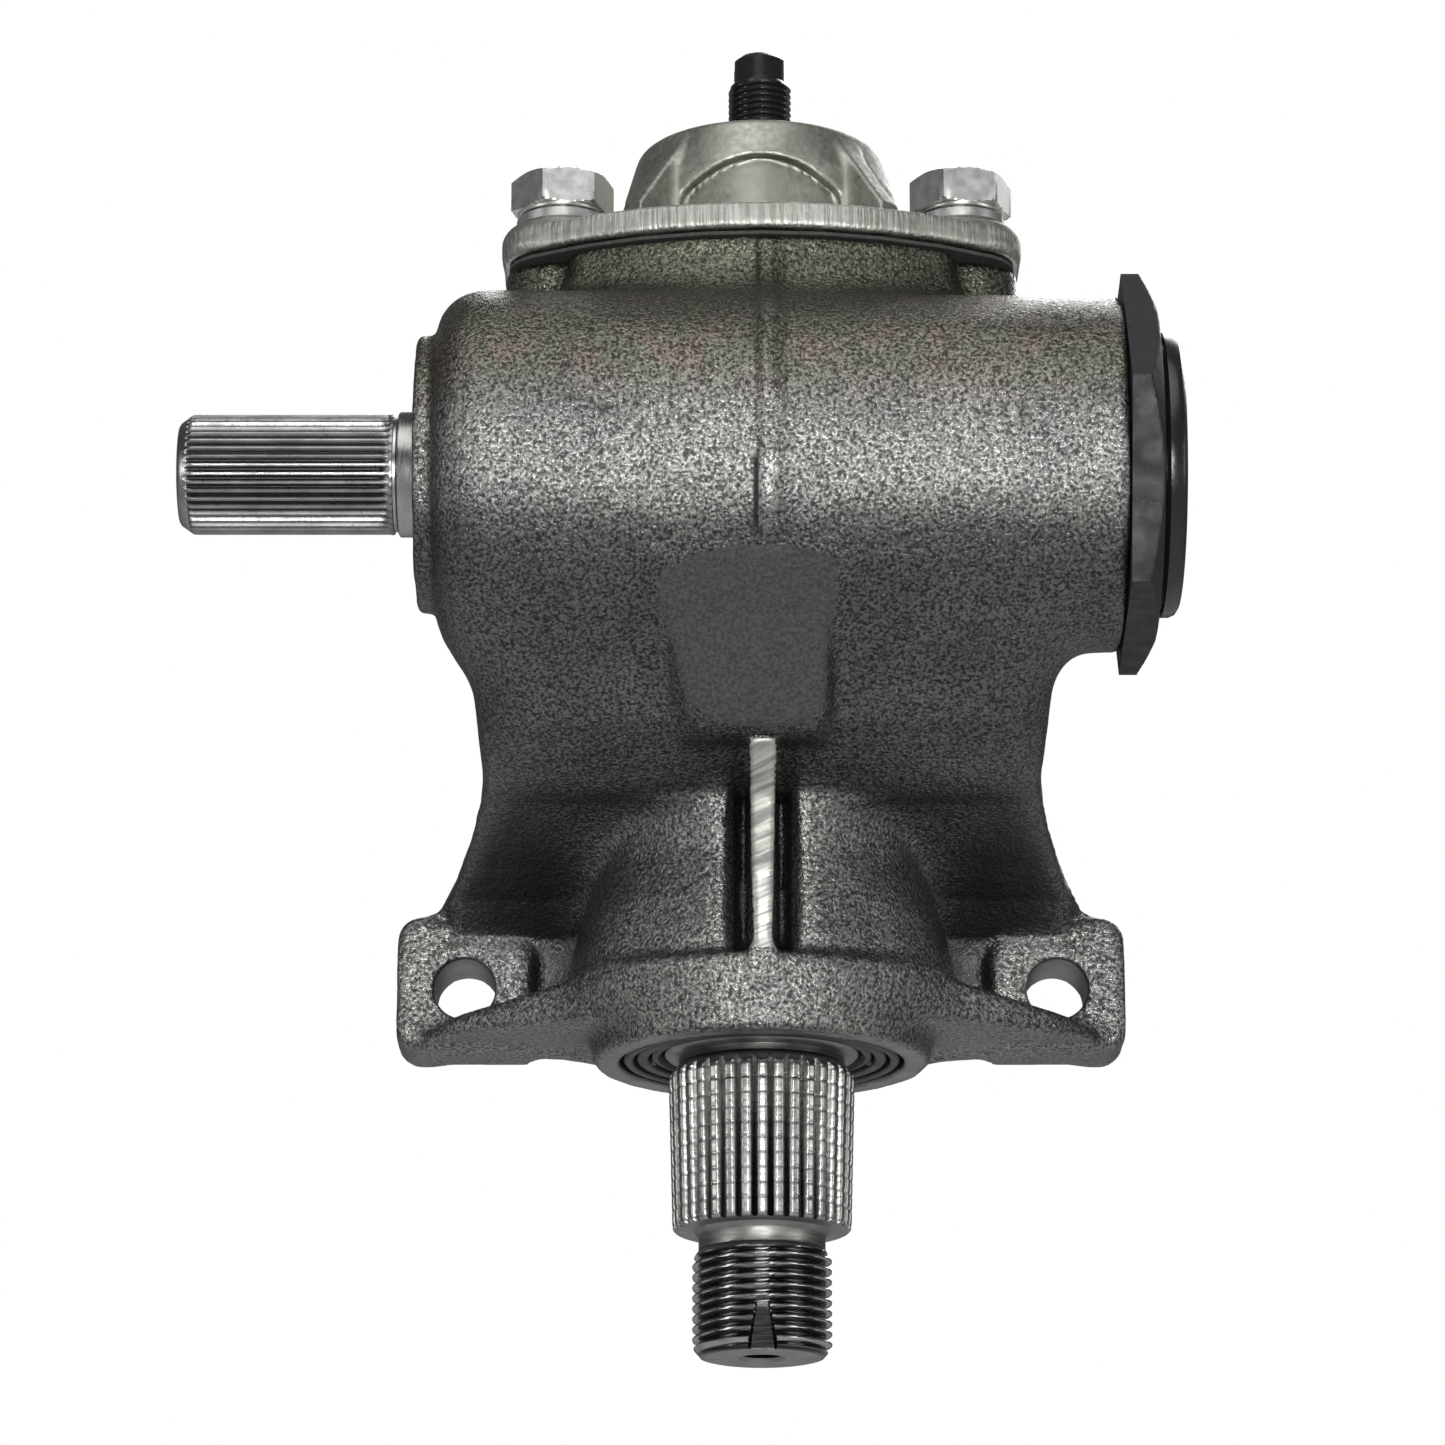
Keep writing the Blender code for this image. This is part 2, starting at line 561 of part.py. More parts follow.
def spring_washer(number, x, y):
    """A split ring under a bolt's head."""
    low = BOLT_PAD_TOP + GAP
    profile = ring_profile(WASHER_OUTER, WASHER_INNER, low, low + WASHER_HEIGHT)
    washer = turned("cover_spring_washer_%d" % number, profile, ZINC, (x, y, 0), "Z", 16, True)
    slant = Matrix.Rotation(math.radians(25), 4, "X")
    split = block("washer_split_%d" % number, (3, -0.4, -2.5), (8, 0.4, 2.5), None, (x, y, low + 1), slant)
    cut(washer, split)
    return washer


def upper_bush():
    profile = ring_profile(BUSH_OUTER, BUSH_INNER, BUSH_BOTTOM, BUSH_TOP)
    turned("upper_bush", profile, BRONZE, SECTOR_AT, "Z", 28, True)


def adjusting_screw():
    profile = [
        (0, SCREW_TOP), (SCREW_END_RADIUS - 1, SCREW_TOP), (SCREW_END_RADIUS, SCREW_TOP - 1),
        (SCREW_END_RADIUS, SCREW_SHOULDER), (SCREW_RADIUS, SCREW_SHOULDER - 0.8),
        (SCREW_RADIUS, SCREW_HEAD_TOP), (SCREW_HEAD_RADIUS, SCREW_HEAD_TOP),
        (SCREW_HEAD_RADIUS, SCREW_HEAD_BOTTOM), (0, SCREW_HEAD_BOTTOM),
    ]
    screw = turned("adjusting_screw", profile, BLACK_OXIDE, SECTOR_AT, "Z", 16)
    slot = block("driver_slot", (-8, -0.8, SCREW_TOP - 2.4), (8, 0.8, SCREW_TOP + 2), None, SECTOR_AT)
    cut(screw, slot)


def adjuster_shim():
    low = SCREW_HEAD_TOP + GAP
    profile = ring_profile(SCREW_HEAD_RADIUS, SCREW_BORE, low, low + SHIM_THICKNESS)
    turned("adjuster_shim", profile, STEEL, SECTOR_AT, "Z", 16, True)


def adjuster_lock_nut():
    low = SPOT_FACE_Z + GAP
    nut = flat_shape("adjuster_lock_nut", hex_outline(NUT_FLATS, 12), low, low + NUT_HEIGHT, ZINC)
    nut.location = Vector(SECTOR_AT) * MM
    cut(nut, bore("nut_bore", SCREW_BORE, low - PAST, low + NUT_HEIGHT + PAST, SECTOR_AT, "Z", 16))


# ---------------------------------------------------------------- right end: plug, lock ring and seal ring

def worm_bearing_plug():
    """The threaded plug that sets the worm's bearings; its inner end is hollow."""
    groove = PLUG_RADIUS - 1.6
    profile = [
        (0, PLUG_RIGHT), (PLUG_RIM - 1.2, PLUG_RIGHT), (PLUG_RIM, PLUG_RIGHT - 1.2),
        (PLUG_RIM, RING_RIGHT + 0.4), (PLUG_RADIUS, RING_RIGHT), (PLUG_RADIUS, GROOVE_RIGHT),
        (groove, GROOVE_RIGHT), (groove, GROOVE_LEFT), (PLUG_RADIUS, GROOVE_LEFT), (PLUG_RADIUS, PLUG_LEFT),
        (PLUG_HOLLOW, PLUG_LEFT), (PLUG_HOLLOW, PLUG_FLOOR), (0, PLUG_FLOOR),
    ]
    plug = turned("worm_bearing_plug", profile, BLACK_OXIDE, WORM_AT, "X", 24)
    drive = flat_shape("plug_socket", hex_outline(SOCKET_FLATS), PLUG_RIGHT - SOCKET_DEPTH, PLUG_RIGHT + PAST)
    drive.matrix_world = Matrix.Translation(Vector(WORM_AT) * MM) @ AXIS_TURN["X"]
    cut(plug, drive)


def plug_seal_ring():
    profile = ring_profile(PLUG_RADIUS - 0.1, PLUG_RADIUS - 1.3, GROOVE_LEFT + GAP, GROOVE_RIGHT - GAP)
    turned("plug_seal_ring", profile, RUBBER, WORM_AT, "X", 28, True)


def plug_lock_ring():
    """The thin hexagon nut that locks the plug."""
    # A turn about X is counted from the front (-Y) upwards, and local X points down here.
    outline = hex_outline(RING_FLATS, 90 - RING_TURN + 180)
    ring = flat_shape("plug_lock_ring", outline, RING_LEFT, RING_RIGHT, BLACK_OXIDE)
    ring.matrix_world = Matrix.Translation(Vector(WORM_AT) * MM) @ AXIS_TURN["X"]
    cut(ring, bore("ring_bore", PLUG_RIM + GAP, RING_LEFT - PAST, RING_RIGHT + PAST, WORM_AT, "X", 28))


# ---------------------------------------------------------------- worm bearings and seals

def race_arc(start, end, count=5):
    return arc((BALL_PITCH, BALL_X), RACE_RADIUS, start, end, count)


def bearing_cup(side, axis):
    """An outer ring whose curved race faces the worm."""
    race = race_arc(75, -5)
    profile = [(19.9, 38.8), (19.9, 28.6), (race[-1][0] + 0.6, 28.6), *race[::-1], (12.6, 38.8)]
    turned("worm_bearing_cup_" + side, profile, BEARING_STEEL, WORM_AT, axis, 24, True)


def ball_cage(side, axis):
    """Balls in their cage ring, which go round together."""
    low, high = BALL_X - 1.4, BALL_X + 1.4
    profile = ring_profile(BALL_PITCH + 0.9, BALL_PITCH - 0.9, low, high)
    cage = turned("worm_ball_cage_" + side, profile, BEARING_STEEL, WORM_AT, axis, 27, True)
    bm = bmesh.new()
    for number in range(BALL_COUNT):
        place = Matrix.Rotation(2 * math.pi * number / BALL_COUNT, 4, "Z")
        place @= Matrix.Translation((BALL_PITCH, 0, BALL_X))
        bmesh.ops.create_uvsphere(bm, u_segments=8, v_segments=4, radius=BALL_RADIUS, matrix=place)
    balls = mesh_from(bm, "balls_" + side)
    add(cage, make_object("balls_" + side, balls, None, WORM_AT, AXIS_TURN[axis]))


def input_shaft_seal():
    profile = [
        (14.1, -42.6), (14.1, -48.2), (12.4, -48.2), (12.4, -44.2),
        (10.6, -44.2), (10.6, -47.6), (9.1, -47.6), (9.1, -42.6),
    ]
    turned("input_shaft_seal", profile, RUBBER, WORM_AT, "X", 24, True)


def output_shaft_seal():
    """A lip seal with a rim and two raised rings on its lower face."""
    low, high = BOSS_BOTTOM + 0.4, SEAL_SEAT_TOP - 0.5
    profile = [(19.9, high), (19.9, low)]
    for outer, inner in ((18.6, 18.0), (16.4, 15.8)):
        profile += [(outer, low), (outer, low + 2.2), (inner, low + 2.2), (inner, low)]
    profile += [(14.35, low + 0.6), (14.35, high)]
    turned("output_shaft_seal", profile, RUBBER, SECTOR_AT, "Z", 28, True)


def lower_bearing_shell():
    """The drawn cup of the lower needle bearing, with its lips turned in."""
    low, high = SEAL_SEAT_TOP + 0.6, BEARING_SEAT_TOP - 0.3
    profile = [(17.4, high), (17.4, low), (14.9, low), (14.9, low + 0.8), (16.3, low + 0.8)]
    profile += [(16.3, high - 0.8), (14.9, high - 0.8), (14.9, high)]
    turned("lower_bearing_shell", profile, BEARING_STEEL, SECTOR_AT, "Z", 24, True)


def lower_needle_cage():
    """The needles of the lower bearing in their cage."""
    low, high, count = -3.2, 15.3, 12
    profile = ring_profile(15.5, 14.7, low, high)
    cage = turned("lower_needle_cage", profile, BEARING_STEEL, SECTOR_AT, "Z", 28, True)
    bm = bmesh.new()
    for number in range(count):
        place = Matrix.Rotation(2 * math.pi * (number + 0.5) / count, 4, "Z")
        place @= Matrix.Translation((15.1, 0, (low + high) / 2))
        bmesh.ops.create_cone(
            bm, cap_ends=True, segments=6, radius1=0.8, radius2=0.8, depth=high - low - 4, matrix=place
        )
    add(cage, make_object("needles", mesh_from(bm, "needles"), None, SECTOR_AT))


# ---------------------------------------------------------------- output shaft and roller

ROLLER_AT = (0.0, SECTOR_Y - ROLLER_REACH, WORM_Z)
PIN_TURN = Matrix.Rotation(math.radians(90 - ROLLER_TILT), 4, "Y")  # local Z runs along the pin


def sector_shaft():
    """The output shaft: upper journal, head with the roller's fork, journal, tapered spline and thread."""
    profile = [
        (0, SHAFT_TOP), (UPPER_JOURNAL - 0.6, SHAFT_TOP), (UPPER_JOURNAL, SHAFT_TOP - 0.6),
        (UPPER_JOURNAL, HEAD_TOP), (HEAD_RADIUS, HEAD_TOP), (HEAD_RADIUS, HEAD_BOTTOM),
        (JOURNAL_RADIUS, HEAD_BOTTOM), (JOURNAL_RADIUS, SPLINE_TOP + 1.6), (11.0, SPLINE_TOP + 1.6),
        (11.0, SPLINE_BOTTOM + 1.6), (NECK_RADIUS, SPLINE_BOTTOM - 0.6), (NECK_RADIUS, THREAD_TOP + 0.6),
        (THREAD_RADIUS, THREAD_TOP), (THREAD_RADIUS, SHAFT_END + 1.6), (8.7, SHAFT_END), (0, SHAFT_END),
    ]
    shaft = turned("sector_shaft", profile, STEEL, SECTOR_AT, "Z", 28)
    spline = toothed_rod(
        "output_spline", SPLINE_TEETH, SPLINE_BOTTOM_RADIUS, SPLINE_TOP_RADIUS, SPLINE_DEPTH,
        SPLINE_BOTTOM, SPLINE_TOP + 4.0, SECTOR_AT,
    )
    # The tilt follows the worm's lead, so that the ridges lie along its thread.
    arms = rod("fork_ends", 6.4, -FORK_OUTER, FORK_OUTER, None, ROLLER_AT, PIN_TURN, 16)
    low, high = (-8.5, 0, -FORK_OUTER), (8.5, ROLLER_REACH + 4, FORK_OUTER)
    root = block("fork_root", low, high, None, ROLLER_AT, PIN_TURN)
    add(shaft, spline, root, arms)
    reach = turned("fork_trim", ring_profile(40, FORK_REACH, 40, 84), None, SECTOR_AT, "Z", 28, True)
    back = block("fork_back_trim", (-30, HEAD_RADIUS, 40), (30, 40, 84), None, SECTOR_AT)
    pocket = rod("roller_pocket", 14.5, -FORK_INNER, FORK_INNER, None, ROLLER_AT, PIN_TURN, 24)
    pin_hole = rod("pin_hole", PIN_RADIUS + GAP, -20, 20, None, ROLLER_AT, PIN_TURN, 16)
    cut(shaft, reach, back, pocket, pin_hole, *adjuster_slot(), centre_hole())
    return shaft


def adjuster_slot():
    """The T-slot across the upper end, which holds the adjusting screw's head."""
    slot = []
    for name, width, low, high in (
        ("slot_wide", SLOT_WIDTH, SLOT_BOTTOM, SLOT_NECK),
        ("slot_neck", NECK_WIDTH, SLOT_NECK - 1, SHAFT_TOP + PAST),
    ):
        slot.append(block(name, (-width / 2, -20, low), (width / 2, 20, high), None, SECTOR_AT))
    return slot


def centre_hole():
    """The lathe centre in the threaded end."""
    mouth_radius, drill_radius, below = 3.45, 1.6, SHAFT_END - PAST
    profile = [
        (0, SHAFT_END + 6.1), (drill_radius, SHAFT_END + 6.1), (drill_radius, SHAFT_END + 1.8),
        (mouth_radius, SHAFT_END - 0.1), (mouth_radius, below), (0, below),
    ]
    return turned("centre_hole", profile, None, SECTOR_AT, "Z", 12)


def roller_radius(offset, grow=0.0):
    """The roller's radius at a place along its pin, with its surface moved out by grow."""
    tip = math.sqrt(RIDGE_TIP_REACH**2 - RIDGE_OFFSET**2) - ROLLER_REACH + grow
    flank = np.abs(np.abs(offset) - RIDGE_OFFSET) - RIDGE_FLAT - grow / math.cos(math.atan(RIDGE_SLOPE))
    radius = np.clip(tip - flank / RIDGE_SLOPE, ROLLER_CORE + grow, tip)
    return np.where(np.abs(offset) <= ROLLER_HALF + grow, radius, 0.0)


def sector_roller():
    """A roller with two ridges, which run in the worm's thread."""
    tip = float(roller_radius(RIDGE_OFFSET))
    drop = (tip - ROLLER_CORE) * RIDGE_SLOPE
    side = [
        (ROLLER_CORE, min(ROLLER_HALF, RIDGE_OFFSET + RIDGE_FLAT + drop)),
        (tip, RIDGE_OFFSET + RIDGE_FLAT),
        (tip, RIDGE_OFFSET - RIDGE_FLAT),
        (ROLLER_CORE, RIDGE_OFFSET - RIDGE_FLAT - drop),
    ]
    profile = [(ROLLER_BORE, ROLLER_HALF + 0.06), (ROLLER_CORE - 0.4, ROLLER_HALF + 0.06), *side]
    profile += [(radius, -offset) for radius, offset in profile[::-1]]
    roller = turned("sector_roller", profile, BEARING_STEEL, (0, 0, 0), "Z", 24, True)
    roller.matrix_world = Matrix.Translation(Vector(ROLLER_AT) * MM) @ PIN_TURN


def pin_washers():
    for side, low in (("left", -FORK_INNER + 0.3), ("right", FORK_INNER - 1.1)):
        washer = turned(
            "roller_thrust_washer_" + side, ring_profile(7.0, ROLLER_BORE, low, low + 0.8), BRONZE, (0, 0, 0),
            "Z", 16, True,
        )
        washer.matrix_world = Matrix.Translation(Vector(ROLLER_AT) * MM) @ PIN_TURN


def roller_pin():
    rod("roller_pin", PIN_RADIUS, -FORK_OUTER + 0.4, FORK_OUTER - 0.4, STEEL, ROLLER_AT, PIN_TURN, 16)


# ---------------------------------------------------------------- input shaft

def thread_radii(places, around):
    """The worm's radius at each place along it and each angle around it: what the roller leaves uncut."""
    crest = CREST_REACH**2 - np.minimum(np.abs(places), CREST_REACH - 0.1) ** 2
    centre = SECTOR_Y - WORM_Y
    crest = np.minimum(centre - np.sqrt(crest), WORM_RADIUS)
    radii = np.arange(WORM_CORE, WORM_RADIUS + 0.1, RADIUS_STEP)
    x = places[:, None, None]
    radius = radii[None, None, :]
    pin = np.array([math.cos(math.radians(ROLLER_TILT)), 0.0, math.sin(math.radians(ROLLER_TILT))])
    left = np.broadcast_to(crest[:, None], (len(places), len(around))).copy()
    for swing in np.radians(np.arange(-SWING_REACH, SWING_REACH + 0.01, SWING_STEP)):
        turned_by = around[None, :, None] + TURNS_RATIO * swing
        y = radius * np.cos(turned_by) - centre
        z = radius * np.sin(turned_by)
        near_x = math.cos(swing) * x + math.sin(swing) * y
        near_y = -math.sin(swing) * x + math.cos(swing) * y + ROLLER_REACH
        along = near_x * pin[0] + z * pin[2]
        away = np.sqrt(np.maximum(near_x**2 + near_y**2 + z**2 - along**2, 0.0))
        inside = away < roller_radius(along, WORM_CLEARANCE)
        first = np.where(inside, radius, CREST_REACH).min(axis=2) - RADIUS_STEP
        left = np.minimum(left, first)
    return np.maximum(left, WORM_CORE)


def worm_shaft():
    """The input shaft in one piece with its waisted worm, built as rings of points along the axis."""
    around = np.linspace(0, 2 * math.pi, 18, endpoint=False)
    places = np.linspace(-WORM_HALF + 0.8, WORM_HALF - 0.8, 36)
    rows = [(places[i], row) for i, row in enumerate(thread_radii(places, around))]
    race = [(x, r) for r, x in arc((BALL_PITCH, BALL_X), RACE_RADIUS, 262, 190, 5)]
    end = sorted([(WORM_HALF, 13.4), (27.0, 12.2), *race, (33.2, 9.3), (37.4, 9.3), (38.0, 8.7)])
    plain = [(-x, r) for x, r in end[::-1] if x < 37.4] + [(x, r) for x, r in end]
    plain += [(INPUT_SPLINE_END + 1.0, INPUT_JOURNAL), (-37.0, 9.0), (-36.5, 9.3)]
    rows += [(x, np.full(len(around), r)) for x, r in plain]
    rows += [(x, np.full(len(around), WORM_CORE)) for x in (INPUT_SPLINE_END + 0.4, INPUT_END + 0.6)]
    rows.sort(key=lambda row: row[0])
    bm = bmesh.new()
    loops = []
    for x, row in rows:
        loops.append([bm.verts.new((x, r * math.cos(a), r * math.sin(a))) for a, r in zip(around, row)])
    for low, high in zip(loops, loops[1:]):
        for i in range(len(around)):
            j = (i + 1) % len(around)
            bm.faces.new((low[i], low[j], high[j], high[i]))
    for loop in (loops[0], loops[-1]):
        bm.faces.new(loop)
    shaft = make_object("worm_shaft", mesh_from(bm, "worm_shaft"), STEEL, WORM_AT)
    spline = toothed_rod(
        "input_spline", INPUT_TEETH, INPUT_SPLINE_RADIUS, INPUT_SPLINE_RADIUS, INPUT_SPLINE_DEPTH,
        INPUT_END + 1.0, INPUT_SPLINE_END, WORM_AT, AXIS_TURN["X"],
    )
    tip_profile = [(7.9, INPUT_END + 1.4), (7.9, INPUT_END + 0.9), (7.3, INPUT_END)]
    tip_profile = [(0, INPUT_END + 1.4), *tip_profile, (0, INPUT_END)]
    add(shaft, spline, turned("input_tip", tip_profile, None, WORM_AT, "X", 28))
    return shaft


# ---------------------------------------------------------------- assembly

def build():
    housing()
    top_cover()
    cover_gasket()
    for number, (x, y) in enumerate(bolt_places(), 1):
        cover_bolt(number, x, y)
        spring_washer(number, x, y)
    upper_bush()
    adjusting_screw()
    adjuster_shim()
    adjuster_lock_nut()
    worm_bearing_plug()
    plug_seal_ring()
    plug_lock_ring()
    for side, axis in (("left", "-X"), ("right", "X")):
        bearing_cup(side, axis)
        ball_cage(side, axis)
    input_shaft_seal()
    output_shaft_seal()
    lower_bearing_shell()
    lower_needle_cage()
    sector_shaft()
    sector_roller()
    pin_washers()
    roller_pin()
    worm_shaft()


build()
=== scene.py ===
"""Looks of the worm-and-roller steering gearbox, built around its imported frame.

Sizes are in millimetres and angles in degrees, in the frame's own axes; new_piece turns sizes into metres.
+Y points into the vehicle's frame, +Z up along the output shaft, and the input shaft leaves towards -X.
The two castings are distance fields: a field is negative inside its shape, and soft_min and soft_max
join and cut shapes with the round fillets of a casting. Turned pieces are rings of points.
"""

import json
import math
from functools import reduce
from itertools import product

import bpy
import numpy as np
from mathutils import Matrix, Vector


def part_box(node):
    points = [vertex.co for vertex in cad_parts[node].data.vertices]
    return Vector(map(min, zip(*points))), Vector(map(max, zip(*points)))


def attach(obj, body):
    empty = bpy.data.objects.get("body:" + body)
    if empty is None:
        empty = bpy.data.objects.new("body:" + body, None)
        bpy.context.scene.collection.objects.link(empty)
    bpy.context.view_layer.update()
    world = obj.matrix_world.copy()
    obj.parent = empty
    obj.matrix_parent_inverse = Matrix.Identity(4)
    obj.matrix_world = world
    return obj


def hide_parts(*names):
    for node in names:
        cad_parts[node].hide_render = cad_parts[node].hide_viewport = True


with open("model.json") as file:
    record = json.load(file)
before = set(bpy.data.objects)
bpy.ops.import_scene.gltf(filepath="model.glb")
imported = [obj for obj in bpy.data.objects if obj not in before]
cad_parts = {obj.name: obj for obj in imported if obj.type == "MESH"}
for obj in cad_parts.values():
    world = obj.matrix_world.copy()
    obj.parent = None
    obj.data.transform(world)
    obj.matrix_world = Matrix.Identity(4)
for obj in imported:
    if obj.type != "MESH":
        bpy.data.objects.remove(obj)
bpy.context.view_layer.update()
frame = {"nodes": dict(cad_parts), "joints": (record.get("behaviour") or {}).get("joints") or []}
MM = 0.001


# -------------------- sizes read from the frame

def joint_at(name):
    """A joint's place, in millimetres."""
    joint = next(found for found in frame["joints"] if found["name"] == name)
    return [value / MM for value in joint["pos_m"]]


def box_of(node):
    """A node's lowest and highest corners, in millimetres."""
    return [[value / MM for value in corner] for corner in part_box(node)]


def middle_of(node):
    """The middle of a node's box, in millimetres."""
    low, high = box_of(node)
    return [(a + b) / 2 for a, b in zip(low, high)]


WORM_AT = joint_at("input_turn")
SECTOR_AT = joint_at("output_swing")
WORM_Y, WORM_Z = WORM_AT[1:]
SECTOR_Y = SECTOR_AT[1]
HOUSING_LOW, HOUSING_HIGH = box_of("housing")
COVER_LOW, COVER_HIGH = box_of("top_cover")
BOLT_X = abs(middle_of("cover_bolt_1")[0])
BOLT_FRONT_Y, BOLT_REAR_Y = middle_of("cover_bolt_1")[1], middle_of("cover_bolt_4")[1]

# Housing. The rib's front edge is at RIB_FRONTS (Y) for each of RIB_HEIGHTS.
BARREL_LEFT, BARREL_RIGHT = -46.0, 50.1
BARREL_RADIUS_LEFT, BARREL_RADIUS_RIGHT = 26.1, 25.1
NOSE_RADIUS, NOSE_END = 19.6, -48.5
HOUSING_TOP, BOSS_BOTTOM = HOUSING_HIGH[2], HOUSING_LOW[2]
COLLAR_TOP, COLLAR_RADIUS, BOSS_RADIUS = -3.1, 26.0, 24.0
EAR_END, EAR_INNER, EAR_STEP_X = HOUSING_HIGH[0], 33.7, 46.0
EAR_TOP, EAR_BOTTOM, EAR_STEP = 11.0, -8.75, 7.3
EAR_THICKNESS, EAR_HOLE_X, EAR_HOLE_RADIUS = 13.3, 43.6, 4.5
WEB_BACK = -6.0
RIB_HEIGHTS, RIB_FRONTS = (-6.0, -5.2, 8.0, 18.0, 24.0, 26.0), (-48.9, -49.6, -52.4, -56.8, -62.0, -64.2)

# Cover: flange, dome, the arch pressed into the dome, and the height of a gusset's edge at each reach.
FLANGE_TOP, PAD_TOP = 101.2, 102.3
FLANGE_CORNER, FRONT_CURVE = 8.5, 62.0
DOME_HEIGHTS, DOME_RADII = (101.0, 118.8, 125.7), (20.8, 20.4, 18.3)
ARCH_TOP, ARCH_DROP, ARCH_HALF, ARCH_DEPTH = 119.2, 5.0, 11.6, 1.9
GUSSET_REACH, GUSSET_TOP = (17.6, 19.2, 27.5, 29.0), (124.4, 122.6, 111.5, 98.0)
SPOT_FACE_RADIUS, SPOT_FACE_Z = 11.0, 124.6


# -------------------- meshes

AXIS_TURN = {"Z": Matrix.Identity(4), "X": Matrix.Rotation(math.radians(90), 4, "Y")}


def linked(name, data):
    """A new object in the scene."""
    made = bpy.data.objects.new(name, data)
    bpy.context.scene.collection.objects.link(made)
    return made


def new_piece(name, points, faces, materials, node, body="gearbox_body", sharp=32.0):
    """A shown piece from points in millimetres, which rides on a body and replaces a CAD node."""
    mesh = bpy.data.meshes.new(name)
    mesh.from_pydata((np.asarray(points, float) * MM).tolist(), [], faces)
    mesh.update()
    mesh.shade_smooth()
    if sharp:
        mesh.set_sharp_from_angle(angle=math.radians(sharp))
    for material in materials:
        mesh.materials.append(material)
    piece = linked(name, mesh)
    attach(piece, body)
    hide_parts(node)
    return piece


def set_materials(piece, kinds):
    """Gives each face the material with its number."""
    piece.data.polygons.foreach_set("material_index", np.asarray(kinds, np.int32))


def placed(points, at, axis):
    """Points of a shape along Z, turned to lie along an axis and moved to its place."""
    turn = np.array(AXIS_TURN[axis])[:3, :3]
    return points @ turn.T + np.array(at)


def rings(rows, closed=False):
    """Points and faces of a body made of rings around Z.

    Each row is one ring's height and radius, as numbers or as arrays with a value for each point.
    A closed body joins its last ring to its first; an open one has a flat face at each end.
    """
    count = max(np.size(value) for row in rows for value in row)
    turns = np.linspace(0, 2 * np.pi, count, endpoint=False)
    columns = [[np.broadcast_to(value, count) for value in column] for column in zip(*rows)]
    high, wide = np.array(columns, float)
    points = np.stack([wide * np.cos(turns), wide * np.sin(turns), high], axis=-1).reshape(-1, 3)
    number = np.arange(len(rows) * count).reshape(len(rows), count)
    if closed:
        number = np.vstack([number, number[:1]])
    after = np.roll(number, -1, axis=1)
    quads = np.stack([number[:-1], after[:-1], after[1:], number[1:]], axis=-1).reshape(-1, 4)
    faces = quads.tolist()
    if not closed:
        faces.append(number[0][::-1].tolist())
        faces.append(number[-1].tolist())
    if swept_volume(high, wide, closed) < 0:
        faces = [face[::-1] for face in faces]
    return points, faces


def swept_volume(high, wide, closed):
    """The volume that rings sweep, which is positive where their faces look outwards."""
    h, r = high.mean(axis=1), wide.mean(axis=1)
    if closed:
        h, r = np.append(h, h[0]), np.append(r, r[0])
    return float(np.sum(np.diff(h) * (r[1:] ** 2 + r[:-1] ** 2)))


def turned(name, rows, at, axis, material, node, body="gearbox_body", closed=False):
    """A piece made of rings around an axis."""
    points, faces = rings(rows, closed)
    return new_piece(name, placed(points, at, axis), faces, [material], node, body)


def grid_angles(count):
    """Angles round a ring of count points."""
    return np.linspace(0, 360, count, endpoint=False)


def hexagon(flats, turn, angles):
    """A hexagon's radius at each angle, with a corner at turn degrees."""
    off_middle = (angles - turn) % 60.0 - 30.0
    return flats / 2 / np.cos(np.radians(off_middle))


# -------------------- distance fields

def soft_min(a, b, blend):
    """The union of two shapes with a fillet."""
    share = np.clip(0.5 + 0.5 * (b - a) / blend, 0.0, 1.0)
    return b + (a - b) * share - blend * share * (1.0 - share)


def soft_max(a, b, blend):
    """What two shapes share, with a rounded edge."""
    return -soft_min(-a, -b, blend)


def joined(body, *parts):
    """A shape with others added in turn, each as a field and its fillet."""
    for part, fillet in parts:
        body = soft_min(body, part, fillet)
    return body


def trimmed(body, *limits):
    """What a shape shares with others in turn, each as a field and the rounding of its edge."""
    for limit, rounding in limits:
        body = soft_max(body, limit, rounding)
    return body


def lowest(*fields):
    """The union of shapes, with sharp inner corners."""
    return reduce(np.minimum, fields)


def highest(*fields):
    """What shapes share, with sharp edges."""
    return reduce(np.maximum, fields)


def span(value, low, high):
    """The layer between two places along an axis."""
    return np.maximum(low - value, value - high)


def from_worm(y, z):
    """Distance from the worm's axis."""
    return np.hypot(y - WORM_Y, z - WORM_Z)


def from_sector(x, y):
    """Distance from the output shaft's axis."""
    return np.hypot(x, y - SECTOR_Y)


def from_bolts(across, y, front_back=0.0):
    """Distance from the nearest cover bolt: across from it in X, with the front pair moved back."""
    return np.minimum(np.hypot(across, y - BOLT_FRONT_Y - front_back), np.hypot(across, y - BOLT_REAR_Y))


def drum(across, along, low, high, radius, edge=0.8):
    """A cylinder from the distance to its axis and the place along it."""
    return soft_max(across - radius, span(along, low, high), edge)


def level(value, places, sizes):
    """A size that changes with value, in straight stretches between places."""
    return np.interp(value, places, sizes).astype(np.float32)


def plan_box(x, y, half, front, back, corner):
    """A rounded box in plan, as wide as half on each side and from front to back."""
    across = np.abs(x) - half + corner
    deep = np.abs(y - (front + back) / 2) - (back - front) / 2 + corner
    outside = np.hypot(np.maximum(across, 0), np.maximum(deep, 0))
    return outside + np.minimum(np.maximum(across, deep), 0) - corner


def loft(x, y, z, rows, edge):
    """A body whose plan is a rounded box; rows hold height, half width, front, back and corner."""
    heights, *sizes = np.array(rows).T
    half, front, back, corner = [level(z, heights, size) for size in sizes]
    return soft_max(plan_box(x, y, half, front, back, corner), span(z, heights[0], heights[-1]), edge)


